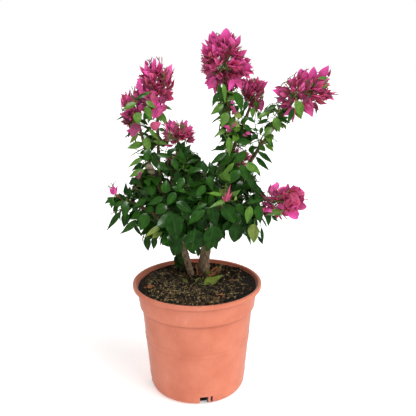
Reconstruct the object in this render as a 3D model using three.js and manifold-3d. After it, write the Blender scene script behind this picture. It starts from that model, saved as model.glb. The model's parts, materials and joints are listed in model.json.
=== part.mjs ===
import * as THREE from 'three';
import { mergeVertices } from 'three/addons/utils/BufferGeometryUtils.js';
import Module from 'manifold-3d';

const wasm = await Module();
wasm.setup();

// A bougainvillea bush in its terracotta-coloured nursery pot, in millimetres.
// The origin is the centre of the pot's underside, +Z is up, +X is to the right of the bush's
// best side and +Y points away from that side.

// Driving dimensions of the pot
const potHeight = 208;
const rimRadius = 120;
const rimWidth = 6.4;
const rimDepth = 9;
const rimRound = 2;
const collarDepth = 46;
const collarTopRadius = 113;
const wallTopRadius = 103.2;
const wallFootRadius = 89.3;
const shoulderStep = 2.6;
const footRound = 8;
const wallThickness = 2.5;
const floorThickness = 3;
const potSegments = 36;

// Driving dimensions of the drain slots round the pot's foot
const drainCount = 4;
const drainWidth = 28;
const drainHeight = 13;
const drainDepth = 16;
const drainTurn = 10;

// Driving dimensions of the potting mix
const soilEdgeHeight = 194;
const soilCrownHeight = 201;
const seatHeight = 199;
const soilLump = 1.6;
const soilRings = 3;

// Driving dimensions of the limbs and of their seats in the mix
const clearGap = 0.3;
const footSink = 12;
const flareReach = 2.2;
const plainFlare = 0.12;
const limbStepLength = 22;
const limbSteps = { least: 4, most: 11 };
const seatMargin = 2.5;
const seatSides = 24;

// Driving dimensions of the twigs, with places along a twig or stem as parts of its length
const twigSides = 3;
const twigRadius = 1.35;
const massStem = { radius: 2.05, share: 0.8, rise: 0.12, sides: 4, steps: 2 };
const twigRoots = { first: 0.4, span: 0.58 };
const twigSpread = { foliage: 0.66, bloom: 0.55 };
const bladeRoots = { last: 0.8, span: 0.5, stagger: 0.06 };

// Driving proportions of the blades: width, lift and curl are parts of a blade's length
const bladeThickness = 1.3;
const widestPart = 0.42;
const thickestPart = 0.26;
const rootSink = 0.2;
const leafShape = { width: 0.74, lift: -0.03, curl: 0.08, size: 1.12, sizeSpread: 0.3 };
const leafLean = { along: 0.3, outward: 0.35, skyward: 0.45, scatter: 0.8 };
const bractShape = { width: 0.8, lift: -0.03, curl: -0.04, size: 1.1, sizeSpread: 0.2 };
const bractLean = { splay: 0.7, splaySpread: 0.5, tryTurn: 0.5 };

// A blade that doesn't fit is turned, then made smaller, a number of times
const tryTurns = 5;
const trySizes = 3;
const tryTurn = 1.3;
const trySmaller = 0.16;
const spaceMargin = 0.04;
const limbMargin = 0.9;

// Where the seeded numbers start, and the crown's middle that leaves face away from
const soilSeed = 7;
const foliageSeed = 101;
const bloomSeed = 201;
const draws = { twigs: 11, triad: 300, size: 500, splay: 700, tiltX: 900, tiltY: 1300 };
const goldenAngle = Math.PI * (3 - Math.sqrt(5));
const up = new THREE.Vector3(0, 0, 1);
const crownHeart = new THREE.Vector3(0, 35, 340);
const crownPull = 20;

// The finishes, and the height from which leaves are the paler young ones
const freshHeight = 440;
const potColour = '#e0866a';
const soilColour = '#33281f';
const barkColour = '#7d6650';
const deadColour = '#8a5a44';
const leafColour = '#2f6d22';
const freshLeafColour = '#4f8a35';
const bractColour = '#b92f84';

// Each limb runs from its parent through one point to its tip. A stem has a foot in the mix
// in place of a parent, and the foot's height is the seat's.
const limbPlan = [
  { name: 'stem_left', foot: [-12, 44], through: [-23, 38, 245], tip: [-39, 30, 304],
    startRadius: 7.2, endRadius: 5.2, flare: 0.45, sides: 9 },
  { name: 'stem_right', foot: [11, 57], through: [15, 50, 245], tip: [27, 42, 298],
    startRadius: 11.5, endRadius: 8.2, flare: 0.35, sides: 9 },
  { name: 'dead_twig', foot: [1.5, 38], through: [-1, 39, 212], tip: [-3, 40, 224],
    startRadius: 1.6, endRadius: 1.2, flare: 0.1, sides: 6 },
  { name: 'bough_left', parent: 'stem_left', from: 0.96, through: [-66, 30, 372],
    tip: [-89, 30, 420], startRadius: 4.9, endRadius: 3.9, sides: 6 },
  { name: 'bough_top', parent: 'stem_right', from: 0.97, through: [60, 38, 412],
    tip: [53, 30, 574], startRadius: 5.2, endRadius: 2.5, sides: 6 },
  { name: 'bough_right_upper', parent: 'stem_right', from: 0.9, through: [99, 36, 428],
    tip: [170, 17, 537], startRadius: 4.8, endRadius: 2.5, sides: 6 },
  { name: 'bough_right_low', parent: 'stem_right', from: 0.74, through: [82, 14, 330],
    tip: [124, -5, 353], startRadius: 4.2, endRadius: 2.5, sides: 6 },
  { name: 'bough_left_low', parent: 'stem_left', from: 0.84, through: [-90, 22, 336],
    tip: [-147, 10, 368], startRadius: 3.8, endRadius: 2.5, sides: 6 },
  { name: 'bough_centre_left', parent: 'stem_left', from: 0.98, through: [-44, 20, 382],
    tip: [-33, 13, 462], startRadius: 3.6, endRadius: 2.5, sides: 6 },
  { name: 'bough_front', parent: 'stem_right', from: 0.66, through: [20, 0, 312],
    tip: [44, -42, 366], startRadius: 3.8, endRadius: 2.5, sides: 6 },
  { name: 'bough_back_left', parent: 'stem_left', from: 0.72, through: [-52, 74, 330],
    tip: [-60, 104, 372], startRadius: 3.8, endRadius: 2.5, sides: 6 },
  { name: 'bough_back_right', parent: 'stem_right', from: 0.8, through: [50, 84, 330],
    tip: [70, 104, 378], startRadius: 4.2, endRadius: 2.5, sides: 6 },
  { name: 'shoot_left_outer', parent: 'bough_left', from: 0.9, through: [-96, 28, 462],
    tip: [-106, 20, 510], startRadius: 3.2, endRadius: 2.5, sides: 6 },
  { name: 'shoot_left_inner', parent: 'bough_left', from: 0.62, through: [-70, 28, 452],
    tip: [-70, 29, 526], startRadius: 3.2, endRadius: 2.5, sides: 6 },
  { name: 'shoot_mid', parent: 'bough_top', from: 0.52, through: [82, 46, 486],
    tip: [97, 52, 524], startRadius: 3.1, endRadius: 2.5, sides: 6 },
];

// Each mass of leaves hangs on a limb at a part of the limb's length and keeps to an ellipsoid.
// Leaves counts the blades along one twig. Droop lets them hang.
const foliagePlan = [
  { name: 'foliage_front_left', limb: 'bough_front', at: 0.6, centre: [-35, -32, 309],
    reach: [54, 46, 54], twigs: 6, leaves: 5, length: 53, droop: 0.7 },
  { name: 'foliage_front_right', limb: 'bough_front', at: 0.85, centre: [32, -38, 308],
    reach: [54, 46, 56], twigs: 6, leaves: 5, length: 53, droop: 0.7 },
  { name: 'foliage_left_tip', limb: 'bough_left_low', at: 0.8, centre: [-138, 12, 338],
    reach: [46, 38, 50], twigs: 5, leaves: 4, length: 46, droop: 0.6 },
  { name: 'foliage_left_under', limb: 'bough_left_low', at: 0.45, centre: [-92, 20, 308],
    reach: [50, 42, 50], twigs: 5, leaves: 4, length: 48, droop: 0.6 },
  { name: 'foliage_left_mid', limb: 'bough_left', at: 0.7, centre: [-104, 20, 393],
    reach: [52, 44, 44], twigs: 5, leaves: 4, length: 44, droop: 0.4 },
  { name: 'foliage_left_upper', limb: 'shoot_left_outer', at: 0.4, centre: [-90, 22, 456],
    reach: [52, 38, 46], twigs: 6, leaves: 4, length: 37, droop: 0.4 },
  { name: 'foliage_centre_left', limb: 'bough_centre_left', at: 0.8, centre: [-24, 10, 422],
    reach: [50, 44, 48], twigs: 5, leaves: 5, length: 42, droop: 0.4 },
  { name: 'foliage_centre', limb: 'bough_centre_left', at: 0.45, centre: [-8, -12, 372],
    reach: [58, 44, 44], twigs: 6, leaves: 5, length: 50, droop: 0.5 },
  { name: 'foliage_right_low', limb: 'bough_right_low', at: 0.8, centre: [92, -6, 325],
    reach: [48, 42, 54], twigs: 6, leaves: 5, length: 50, droop: 0.7 },
  { name: 'foliage_right', limb: 'bough_right_upper', at: 0.36, centre: [104, 20, 398],
    reach: [50, 44, 50], twigs: 6, leaves: 4, length: 44, droop: 0.4 },
  { name: 'foliage_top_low', limb: 'bough_top', at: 0.5, centre: [46, 16, 424],
    reach: [42, 40, 44], twigs: 5, leaves: 4, length: 42, droop: 0.4 },
  { name: 'foliage_top_mid', limb: 'bough_top', at: 0.7, centre: [56, 24, 482],
    reach: [40, 36, 40], twigs: 5, leaves: 4, length: 34, droop: 0.4 },
  { name: 'foliage_top_high', limb: 'bough_top', at: 0.86, centre: [48, 28, 536],
    reach: [40, 36, 38], twigs: 4, leaves: 4, length: 32, droop: 0.6 },
  { name: 'foliage_right_upper', limb: 'bough_right_upper', at: 0.62, centre: [118, 30, 472],
    reach: [42, 36, 48], twigs: 5, leaves: 4, length: 35, droop: 0.5 },
  { name: 'foliage_right_tip', limb: 'bough_right_upper', at: 0.84, centre: [148, 16, 510],
    reach: [42, 34, 34], twigs: 4, leaves: 4, length: 32, droop: 0.6 },
  { name: 'foliage_back_left', limb: 'bough_back_left', at: 1, centre: [-72, 104, 346],
    reach: [66, 52, 62], twigs: 6, leaves: 5, length: 53, droop: 0.6 },
  { name: 'foliage_back_right', limb: 'bough_back_right', at: 1, centre: [70, 106, 348],
    reach: [66, 52, 62], twigs: 6, leaves: 5, length: 53, droop: 0.6 },
  { name: 'foliage_back_centre', limb: 'bough_back_left', at: 0.55, centre: [-4, 92, 372],
    reach: [50, 44, 46], twigs: 5, leaves: 4, length: 48, droop: 0.4 },
  { name: 'foliage_foot', limb: 'stem_left', at: 0.1, centre: [-34, 64, 228],
    reach: [18, 22, 26], twigs: 2, leaves: 2, length: 28, droop: 0.1 },
];

// Each bloom head carries its bracts in threes at the ends of its twigs and along them.
const bloomPlan = [
  { name: 'bloom_top', limb: 'bough_top', at: 1, centre: [50, 30, 609],
    reach: [51, 48, 56], twigs: 10, triads: 2, length: 36 },
  { name: 'bloom_left_top', limb: 'shoot_left_inner', at: 1, centre: [-70, 28, 562],
    reach: [40, 40, 52], twigs: 9, triads: 2, length: 32 },
  { name: 'bloom_left_outer', limb: 'shoot_left_outer', at: 0.96, centre: [-117, 12, 522],
    reach: [28, 30, 46], twigs: 5, triads: 2, length: 29 },
  { name: 'bloom_centre_left', limb: 'bough_centre_left', at: 1, centre: [-32, 11, 480],
    reach: [34, 32, 31], twigs: 4, triads: 2, length: 31 },
  { name: 'bloom_mid', limb: 'shoot_mid', at: 1, centre: [104, 53, 549],
    reach: [30, 32, 40], twigs: 5, triads: 2, length: 31 },
  { name: 'bloom_right', limb: 'bough_right_upper', at: 1, centre: [186, 15, 555],
    reach: [60, 36, 40], twigs: 7, triads: 2, length: 34 },
  { name: 'bloom_right_low', limb: 'bough_right_low', at: 1, centre: [156, -8, 362],
    reach: [49, 42, 38], twigs: 6, triads: 2, length: 34 },
  { name: 'bloom_small_left', limb: 'bough_left_low', at: 1, centre: [-152, 8, 385],
    reach: [13, 14, 16], twigs: 1, triads: 1, length: 17 },
  { name: 'bloom_small_centre', limb: 'bough_front', at: 1, centre: [52, -50, 388],
    reach: [16, 18, 25], twigs: 2, triads: 1, length: 25 },
  { name: 'bloom_back_left', limb: 'bough_back_left', at: 0.9, centre: [-46, 132, 398],
    reach: [34, 32, 32], twigs: 5, triads: 1, length: 30 },
  { name: 'bloom_back_right', limb: 'bough_back_right', at: 0.9, centre: [78, 134, 411],
    reach: [34, 32, 32], twigs: 5, triads: 1, length: 30 },
];

// A seeded number from 0 to 1 for each seed and index
function chance(seed, index) {
  let hash = Math.imul(seed ^ 0x9e3779b9, 0x85ebca6b) ^ Math.imul(index + 1, 0xc2b2ae35);
  hash ^= hash >>> 15;
  hash = Math.imul(hash, 0x2c1b3c6d);
  hash ^= hash >>> 12;
  hash = Math.imul(hash, 0x297a2d39);
  hash ^= hash >>> 15;
  return (hash >>> 0) / 4294967296;
}

function toSolid(geometry) {
  const bare = geometry.index ? geometry.clone() : geometry;
  bare.deleteAttribute('normal');
  bare.deleteAttribute('uv');
  const merged = mergeVertices(bare, 1e-4);
  const vertProperties = new Float32Array(merged.attributes.position.array);
  const triVerts = new Uint32Array(merged.index.array);
  return new wasm.Manifold(new wasm.Mesh({ numProp: 3, vertProperties, triVerts }));
}

// Only the largest closed skin of a solid is kept: a sealed hollow is filled, a scrap dropped.
function largestBody(solid) {
  const mesh = solid.getMesh();
  const { vertProperties, triVerts } = mesh;
  const owner = Array.from({ length: vertProperties.length / 3 }, (_, i) => i);
  const find = (i) => {
    while (owner[i] !== i) {
      owner[i] = owner[owner[i]];
      i = owner[i];
    }
    return i;
  };
  for (let t = 0; t < triVerts.length; t += 3) {
    owner[find(triVerts[t + 1])] = find(triVerts[t]);
    owner[find(triVerts[t + 2])] = find(triVerts[t]);
  }
  const corner = (i) => new THREE.Vector3().fromArray(vertProperties, 3 * i);
  const volumes = new Map();
  for (let t = 0; t < triVerts.length; t += 3) {
    const body = find(triVerts[t]);
    const [a, b, c] = [corner(triVerts[t]), corner(triVerts[t + 1]), corner(triVerts[t + 2])];
    volumes.set(body, (volumes.get(body) ?? 0) + a.dot(b.cross(c)) / 6);
  }
  const largest = [...volumes].reduce((best, entry) => (entry[1] > best[1] ? entry : best))[0];
  const kept = [];
  for (let t = 0; t < triVerts.length; t += 3) {
    if (find(triVerts[t]) === largest) {
      kept.push(triVerts[t], triVerts[t + 1], triVerts[t + 2]);
    }
  }
  const keptVerts = new Uint32Array(kept);
  return new wasm.Manifold(new wasm.Mesh({ numProp: 3, vertProperties, triVerts: keptVerts }));
}

function toGeometry(solid) {
  const { vertProperties, triVerts } = solid.getMesh();
  const geometry = new THREE.BufferGeometry();
  const corners = new THREE.BufferAttribute(new Float32Array(vertProperties), 3);
  geometry.setAttribute('position', corners);
  geometry.setIndex(new THREE.BufferAttribute(new Uint32Array(triVerts), 1));
  geometry.computeVertexNormals();
  return geometry;
}

function addMesh(group, name, solid, colour, roughness) {
  const material = new THREE.MeshStandardMaterial({ color: colour, roughness, metalness: 0 });
  const mesh = new THREE.Mesh(toGeometry(solid), material);
  mesh.name = name;
  group.add(mesh);
}

// A closed cylinder, or a cone, bent along a curve, with its radius given along the curve's length
function bentCylinder(curve, radiusAt, sides, steps, endScale = 1) {
  const geometry = new THREE.CylinderGeometry(endScale, 1, 1, sides, steps);
  const frames = curve.computeFrenetFrames(steps, false);
  const position = geometry.attributes.position;
  const vertex = new THREE.Vector3();
  for (let i = 0; i < position.count; i += 1) {
    vertex.fromBufferAttribute(position, i);
    const step = Math.round((vertex.y + 0.5) * steps);
    const radius = radiusAt(step / steps);
    const point = curve.getPointAt(step / steps);
    point.addScaledVector(frames.normals[step], vertex.x * radius);
    point.addScaledVector(frames.binormals[step], -vertex.z * radius);
    position.setXYZ(i, point.x, point.y, point.z);
  }
  return geometry;
}

// The pot's outer radius under its rim: a straight wall below the shoulder, a collar above it
function wallRadius(height) {
  const shoulder = potHeight - collarDepth;
  if (height <= shoulder) {
    return THREE.MathUtils.mapLinear(height, 0, shoulder, wallFootRadius, wallTopRadius);
  }
  const collarFoot = wallTopRadius + shoulderStep;
  return THREE.MathUtils.mapLinear(height, shoulder, potHeight - rimDepth, collarFoot, collarTopRadius);
}

function latheSolid(profile, segments) {
  const points = profile.map(([radius, height]) => new THREE.Vector2(radius, height));
  const geometry = new THREE.LatheGeometry(points, segments);
  geometry.rotateX(Math.PI / 2);
  return geometry;
}

function quarterRound(centreRadius, centreHeight, size, startAngle, steps) {
  return Array.from({ length: steps + 1 }, (_, i) => {
    const angle = startAngle + (i / steps) * (Math.PI / 2);
    return [centreRadius + size * Math.cos(angle), centreHeight + size * Math.sin(angle)];
  });
}

function makePot() {
  const shoulder = potHeight - collarDepth;
  const rimUnder = potHeight - rimDepth;
  const rimInner = rimRadius - rimWidth;
  const collarInner = collarTopRadius - wallThickness;
  const profile = [
    [0, 0],
    ...quarterRound(wallFootRadius - footRound, footRound, footRound, -Math.PI / 2, 3),
    [wallRadius(shoulder), shoulder],
    [wallRadius(shoulder) + shoulderStep, shoulder + shoulderStep],
    [collarTopRadius, rimUnder],
    [rimRadius - rimRound, rimUnder],
    [rimRadius, rimUnder + rimRound],
    ...quarterRound(rimRadius - rimRound, potHeight - rimRound, rimRound, 0, 2),
    [rimInner, potHeight],
    [collarInner, rimUnder + rimRound],
    [wallRadius(shoulder) + shoulderStep - wallThickness, shoulder + shoulderStep],
    [wallRadius(shoulder) - wallThickness, shoulder],
    [wallRadius(footRound) - wallThickness, floorThickness],
    [0, floorThickness],
  ];
  let pot = toSolid(latheSolid(profile, potSegments));
  for (let i = 0; i < drainCount; i += 1) {
    const slot = new THREE.BoxGeometry(drainDepth, drainWidth, 2 * drainHeight);
    slot.translate(wallFootRadius, 0, 0);
    slot.rotateZ(THREE.MathUtils.degToRad(drainTurn - 90) + (i * 2 * Math.PI) / drainCount);
    pot = pot.subtract(toSolid(slot));
  }
  return pot;
}

// The mix fills the pot a gap clear of its wall, is mounded towards its middle and lumpy on top
function makeSoil() {
  const shoulder = potHeight - collarDepth;
  const side = wallThickness + clearGap;
  const edgeRadius = wallRadius(soilEdgeHeight) - side - 2 * clearGap;
  const profile = [
    [0, floorThickness + clearGap],
    [wallRadius(footRound) - side - clearGap, floorThickness + clearGap],
    [wallRadius(shoulder) - side, shoulder],
    [edgeRadius, soilEdgeHeight],
  ];
  for (let ring = soilRings - 1; ring >= 0; ring -= 1) {
    const part = ring / soilRings;
    const height = THREE.MathUtils.lerp(soilCrownHeight, soilEdgeHeight, part * part);
    profile.push([part * edgeRadius, height]);
  }
  const geometry = latheSolid(profile, potSegments);
  const position = geometry.attributes.position;
  for (let i = 0; i < position.count; i += 1) {
    const [x, y, z] = [position.getX(i), position.getY(i), position.getZ(i)];
    const ring = Math.round((Math.hypot(x, y) / edgeRadius) * soilRings);
    const turn = Math.round((Math.atan2(y, x) / (2 * Math.PI)) * potSegments);
    if (z > soilEdgeHeight + clearGap && ring > 0) {
      const slot = ring * potSegments + ((turn + potSegments) % potSegments);
      position.setZ(i, z + soilLump * (chance(soilSeed, slot) - 0.5));
    }
  }
  return toSolid(geometry);
}

// Limbs: each is a tapering bent cylinder with a flared foot where it stands in the mix
const limbs = new Map();

function limbCurve(plan) {
  const through = new THREE.Vector3(...plan.through);
  const tip = new THREE.Vector3(...plan.tip);
  if (plan.parent) {
    const start = limbs.get(plan.parent).curve.getPointAt(plan.from);
    return new THREE.CatmullRomCurve3([start, through, tip]);
  }
  const foot = new THREE.Vector3(plan.foot[0], plan.foot[1], seatHeight);
  const below = foot.clone().add(foot.clone().sub(through).setLength(footSink));
  return new THREE.CatmullRomCurve3([below, foot, through, tip]);
}

function addLimb(plan) {
  const curve = limbCurve(plan);
  const length = curve.getLength();
  const wholeSteps = Math.round(length / limbStepLength);
  const steps = THREE.MathUtils.clamp(wholeSteps, limbSteps.least, limbSteps.most);
  const radiusAt = (part) => {
    const fade = Math.exp(-(part * length) / (flareReach * plan.startRadius));
    const flare = (plan.flare ?? plainFlare) * fade;
    return THREE.MathUtils.lerp(plan.startRadius, plan.endRadius, part) * (1 + flare);
  };
  const points = Array.from({ length: steps + 1 }, (_, i) => curve.getPointAt(i / steps));
  const radii = points.map((_, i) => radiusAt(i / steps));
  let solid = toSolid(bentCylinder(curve, radiusAt, plan.sides, steps));
  for (const other of limbs.values()) {
    solid = solid.subtract(other.fat);
  }
  if (!plan.parent) {
    const mixBlock = new THREE.BoxGeometry(4 * rimRadius, 4 * rimRadius, 2 * footSink + 2 * potHeight);
    mixBlock.translate(0, 0, seatHeight + clearGap - footSink - potHeight);
    solid = solid.subtract(toSolid(mixBlock));
  }
  const fatCurve = curve.clone();
  const end = fatCurve.points[fatCurve.points.length - 1];
  end.add(curve.getTangentAt(1).setLength(clearGap));
  const fatRadiusAt = (part) => radiusAt(part) + 1.2 * clearGap;
  const fat = toSolid(bentCylinder(fatCurve, fatRadiusAt, plan.sides, steps));
  limbs.set(plan.name, { ...plan, curve, points, radii, solid: largestBody(solid), fat });
}

function segmentDistance(point, start, end) {
  const along = end.clone().sub(start);
  const part = THREE.MathUtils.clamp(point.clone().sub(start).dot(along) / along.lengthSq(), 0, 1);
  return point.distanceTo(start.clone().addScaledVector(along, part));
}

function clearOf(tubes, point, margin) {
  return tubes.every((tube) => tube.points.slice(1).every((end, i) => {
    const thickness = Math.max(tube.radii[i], tube.radii[i + 1]) + margin;
    return segmentDistance(point, tube.points[i], end) > thickness;
  }));
}

// The masses of foliage and of bloom, each with its stem
const masses = [];

// True where a point lies clear of every limb and of the stems of the other masses
function clearOfLimbs(mass, point) {
  const otherStems = masses.filter((other) => other !== mass);
  return clearOf([...limbs.values(), ...otherStems], point, limbMargin);
}

// How far a point is from a mass's centre, where 1 is the mass's reach
function reachOf(mass, point) {
  return point.clone().sub(mass.heart).divide(mass.halfSize).length();
}

// A mass owns the points inside its reach that are nearer to it than to any other mass
function insideOwnSpace(mass, point) {
  const own = reachOf(mass, point);
  if (own > 1) {
    return false;
  }
  return masses.every((other) => other === mass || reachOf(other, point) > own + spaceMargin);
}

// The mass's own stem runs from its limb to its centre
function planMass(plan, kind, seed) {
  const limb = limbs.get(plan.limb);
  const start = limb.curve.getPointAt(plan.at);
  const heart = new THREE.Vector3(...plan.centre);
  const halfSize = new THREE.Vector3(...plan.reach);
  const middle = start.clone().lerp(heart, 0.5);
  middle.z += massStem.rise * start.distanceTo(heart);
  const curve = new THREE.QuadraticBezierCurve3(start, middle, heart);
  const points = curve.getSpacedPoints(massStem.steps);
  const limbRadius = THREE.MathUtils.lerp(limb.startRadius, limb.endRadius, plan.at);
  const thick = Math.min(massStem.radius, massStem.share * limbRadius);
  const radii = points.map(() => thick);
  masses.push({ ...plan, kind, seed, heart, halfSize, curve, points, radii, thick });
}

// A blade has four outline corners, at its base, tip and sides, and a fifth on its upper face.
// Its underside is two triangles that meet across it, so that it can arch towards its tip.
const bladeCorners = [-1, 0, 0, 1, 0, 0, 0, 1, 0, 0, -1, 0, 0, 0, 1];
const bladeFaces = [1, 2, 4, 2, 0, 4, 0, 3, 4, 3, 1, 4, 0, 2, 3, 1, 3, 2];

function bladeSolid(blade) {
  const geometry = new THREE.PolyhedronGeometry(bladeCorners, bladeFaces, 1, 0);
  const position = geometry.attributes.position;
  const corner = new THREE.Vector3();
  for (let i = 0; i < position.count; i += 1) {
    corner.fromBufferAttribute(position, i).round();
    const point = bladePoint(blade, corner.x, corner.y, corner.z);
    position.setXYZ(i, point.x, point.y, point.z);
  }
  return toSolid(geometry);
}

// Along runs from -1 at the base to 1 at the tip, across from side to side, over through the blade
function bladePoint(blade, along, across, over) {
  const { base, forward, side, normal, length, width, lift, curl } = blade;
  let station = across !== 0 ? widestPart : thickestPart;
  if (along !== 0) {
    station = along > 0 ? 1 : 0;
  }
  const point = base.clone().addScaledVector(forward, -rootSink + station * (length + rootSink));
  point.addScaledVector(side, (across * width) / 2);
  point.addScaledVector(normal, over * bladeThickness);
  point.addScaledVector(normal, Math.abs(across) * lift * width - (along > 0 ? curl * length : 0));
  return point;
}

// Points over the whole blade, which the space test reads
function bladeSamples(blade) {
  const base = bladePoint(blade, -1, 0, 0);
  const tip = bladePoint(blade, 1, 0, 0);
  const left = bladePoint(blade, 0, 1, 0);
  const right = bladePoint(blade, 0, -1, 0);
  const edgePoint = (corner, part) => {
    const towardsTip = part >= 0.5;
    const [from, to] = towardsTip ? [corner, tip] : [base, corner];
    return from.clone().lerp(to, towardsTip ? 2 * part - 1 : 2 * part);
  };
  const samples = [];
  for (const part of [0.25, 0.375, 0.5, 0.625, 0.75, 0.875, 1]) {
    for (const across of [0, 0.25, 0.5, 0.75, 1]) {
      samples.push(edgePoint(left, part).lerp(edgePoint(right, part), across));
    }
  }
  return samples;
}

function bladeFits(mass, blade, others) {
  return bladeSamples(blade).every((point) => insideOwnSpace(mass, point)
    && clearOf(others, point, clearGap) && clearOfLimbs(mass, point));
}

function makeBlade(base, forward, facing, length, shape) {
  const side = new THREE.Vector3().crossVectors(facing, forward);
  if (side.lengthSq() < 1e-3) {
    side.crossVectors(new THREE.Vector3(1, 0, 0), forward);
  }
  side.normalize();
  const normal = new THREE.Vector3().crossVectors(forward, side);
  const width = shape.width * length;
  return { base, forward, side, normal, length, width, lift: shape.lift, curl: shape.curl };
}

// The twig's own direction, and two directions across it
function twigFrame(twig, part) {
  const along = twig.getTangentAt(part);
  const across = new THREE.Vector3().crossVectors(along, up);
  if (across.lengthSq() < 1e-3) {
    across.set(1, 0, 0);
  }
  across.normalize();
  return { along, across, over: new THREE.Vector3().crossVectors(across, along) };
}

// A direction that leaves a twig at an angle round it
function awayFrom({ across, over }, turn) {
  const away = new THREE.Vector3().addScaledVector(across, Math.cos(turn));
  return away.addScaledVector(over, Math.sin(turn));
}

// A blade's length follows its seeded number, and each round of tries makes it smaller
function bladeLength(mass, shape, slot, attempt) {
  const drawn = shape.size - shape.sizeSpread * chance(mass.seed, draws.size + slot);
  return mass.length * (drawn - trySmaller * Math.floor(attempt / tryTurns));
}

// One leaf: it leaves the twig at the golden angle from the last one and droops by its own weight
function leafAt(mass, twig, part, slot, attempt) {
  const frame = twigFrame(twig, part);
  const base = twig.getPointAt(part);
  const fromMiddle = base.clone().sub(crownHeart).setLength(crownPull);
  const outward = base.clone().sub(mass.heart).add(fromMiddle).normalize();
  const forward = awayFrom(frame, slot * goldenAngle + (attempt % tryTurns) * tryTurn);
  forward.addScaledVector(frame.along, leafLean.along);
  forward.addScaledVector(outward, leafLean.outward);
  forward.addScaledVector(up, -mass.droop);
  forward.normalize();
  const facing = outward.clone().addScaledVector(up, leafLean.skyward);
  facing.x += leafLean.scatter * (chance(mass.seed, draws.tiltX + slot) - 0.5);
  facing.y += leafLean.scatter * (chance(mass.seed, draws.tiltY + slot) - 0.5);
  return makeBlade(base, forward, facing, bladeLength(mass, leafShape, slot, attempt), leafShape);
}

// One bract of a triad: three lean out round the twig and face its axis
function bractAt(mass, twig, part, slot, attempt) {
  const frame = twigFrame(twig, part);
  const first = 2 * Math.PI * chance(mass.seed, draws.triad + Math.floor(slot / 3));
  const third = (slot % 3) * ((2 * Math.PI) / 3);
  const away = awayFrom(frame, first + third + (attempt % tryTurns) * bractLean.tryTurn);
  const splay = bractLean.splay + bractLean.splaySpread * chance(mass.seed, draws.splay + slot);
  const forward = frame.along.clone().addScaledVector(away, splay).normalize();
  const base = twig.getPointAt(part - bladeRoots.stagger * (slot % 3));
  const length = bladeLength(mass, bractShape, slot, attempt);
  return makeBlade(base, forward, away.negate(), length, bractShape);
}

// Twigs leave the mass's stem one after another and spread evenly over its reach
function planTwig(mass, index) {
  const order = (index + 0.5) / mass.twigs;
  const height = 1 - 2 * order;
  const turn = index * goldenAngle + 2 * Math.PI * chance(mass.seed, draws.twigs);
  const ring = Math.sqrt(1 - height * height);
  const target = new THREE.Vector3(ring * Math.cos(turn), ring * Math.sin(turn), height);
  target.multiply(mass.halfSize).multiplyScalar(twigSpread[mass.kind]).add(mass.heart);
  const root = mass.curve.getPointAt(twigRoots.first + twigRoots.span * order);
  return new THREE.LineCurve3(root, target);
}

function twigFits(mass, curve) {
  return [0.1, 0.25, 0.4, 0.55, 0.7, 0.85, 1].every((part) => {
    const point = curve.getPointAt(part);
    return insideOwnSpace(mass, point) && clearOfLimbs(mass, point);
  });
}

function growTwigs(mass) {
  const twigs = [];
  for (let index = 0; index < mass.twigs; index += 1) {
    const curve = planTwig(mass, index);
    if (twigFits(mass, curve)) {
      twigs.push({ index, curve, points: [curve.v1, curve.v2], radii: [twigRadius, 0] });
    }
  }
  return twigs;
}

function crosses(solid, others) {
  return others.some((other) => solid.intersect(other).getMesh().triVerts.length > 0);
}

// Blades are tried one after another, and one that would cross its neighbours is turned or left out
function growBlades(mass, twigs) {
  const isBloom = mass.kind === 'bloom';
  const bladeMaker = isBloom ? bractAt : leafAt;
  const count = isBloom ? 3 * mass.triads : mass.leaves;
  const grown = [];
  for (const twig of twigs) {
    const others = [mass, ...twigs.filter((other) => other !== twig)];
    for (let blade = 0; blade < count; blade += 1) {
      const slot = twig.index * count + blade;
      const order = isBloom ? Math.floor(blade / 3) / mass.triads : blade / count;
      const part = bladeRoots.last - bladeRoots.span * order;
      for (let attempt = 0; attempt < tryTurns * trySizes; attempt += 1) {
        const candidate = bladeMaker(mass, twig.curve, part, slot, attempt);
        const solid = bladeSolid(candidate);
        if (bladeFits(mass, candidate, others) && !crosses(solid, grown)) {
          grown.push(solid);
          break;
        }
      }
    }
  }
  return grown;
}

function makeMass(mass) {
  const limb = limbs.get(mass.limb);
  const stem = toSolid(bentCylinder(mass.curve, () => mass.thick, massStem.sides, massStem.steps));
  const twigs = growTwigs(mass);
  let solid = largestBody(stem.subtract(limb.fat));
  for (const { curve } of twigs) {
    solid = solid.add(toSolid(bentCylinder(curve, () => twigRadius, twigSides, 1, 0)));
  }
  for (const blade of growBlades(mass, twigs)) {
    solid = solid.add(blade);
  }
  return largestBody(solid);
}

const bush = new THREE.Group();

limbPlan.forEach(addLimb);

// Flat seats are pressed into the mix under the stems
let soil = makeSoil();
for (const limb of limbs.values()) {
  if (!limb.parent) {
    const seatRadius = limb.startRadius * (1 + limb.flare) + seatMargin;
    const seat = new THREE.CylinderGeometry(seatRadius, seatRadius, potHeight, seatSides);
    seat.rotateX(Math.PI / 2);
    seat.translate(limb.foot[0], limb.foot[1], seatHeight + potHeight / 2);
    soil = soil.subtract(toSolid(seat));
  }
}

addMesh(bush, 'pot', makePot(), potColour, 0.55);
addMesh(bush, 'soil', largestBody(soil), soilColour, 0.95);
for (const limb of limbs.values()) {
  const colour = limb.name === 'dead_twig' ? deadColour : barkColour;
  addMesh(bush, limb.name, limb.solid, colour, 0.9);
}

foliagePlan.forEach((plan, index) => planMass(plan, 'foliage', foliageSeed + index));
bloomPlan.forEach((plan, index) => planMass(plan, 'bloom', bloomSeed + index));
for (const mass of masses) {
  const green = mass.heart.z > freshHeight ? freshLeafColour : leafColour;
  const colour = mass.kind === 'bloom' ? bractColour : green;
  addMesh(bush, mass.name, makeMass(mass), colour, 0.5);
}

export default bush;
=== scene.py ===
import json

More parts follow.
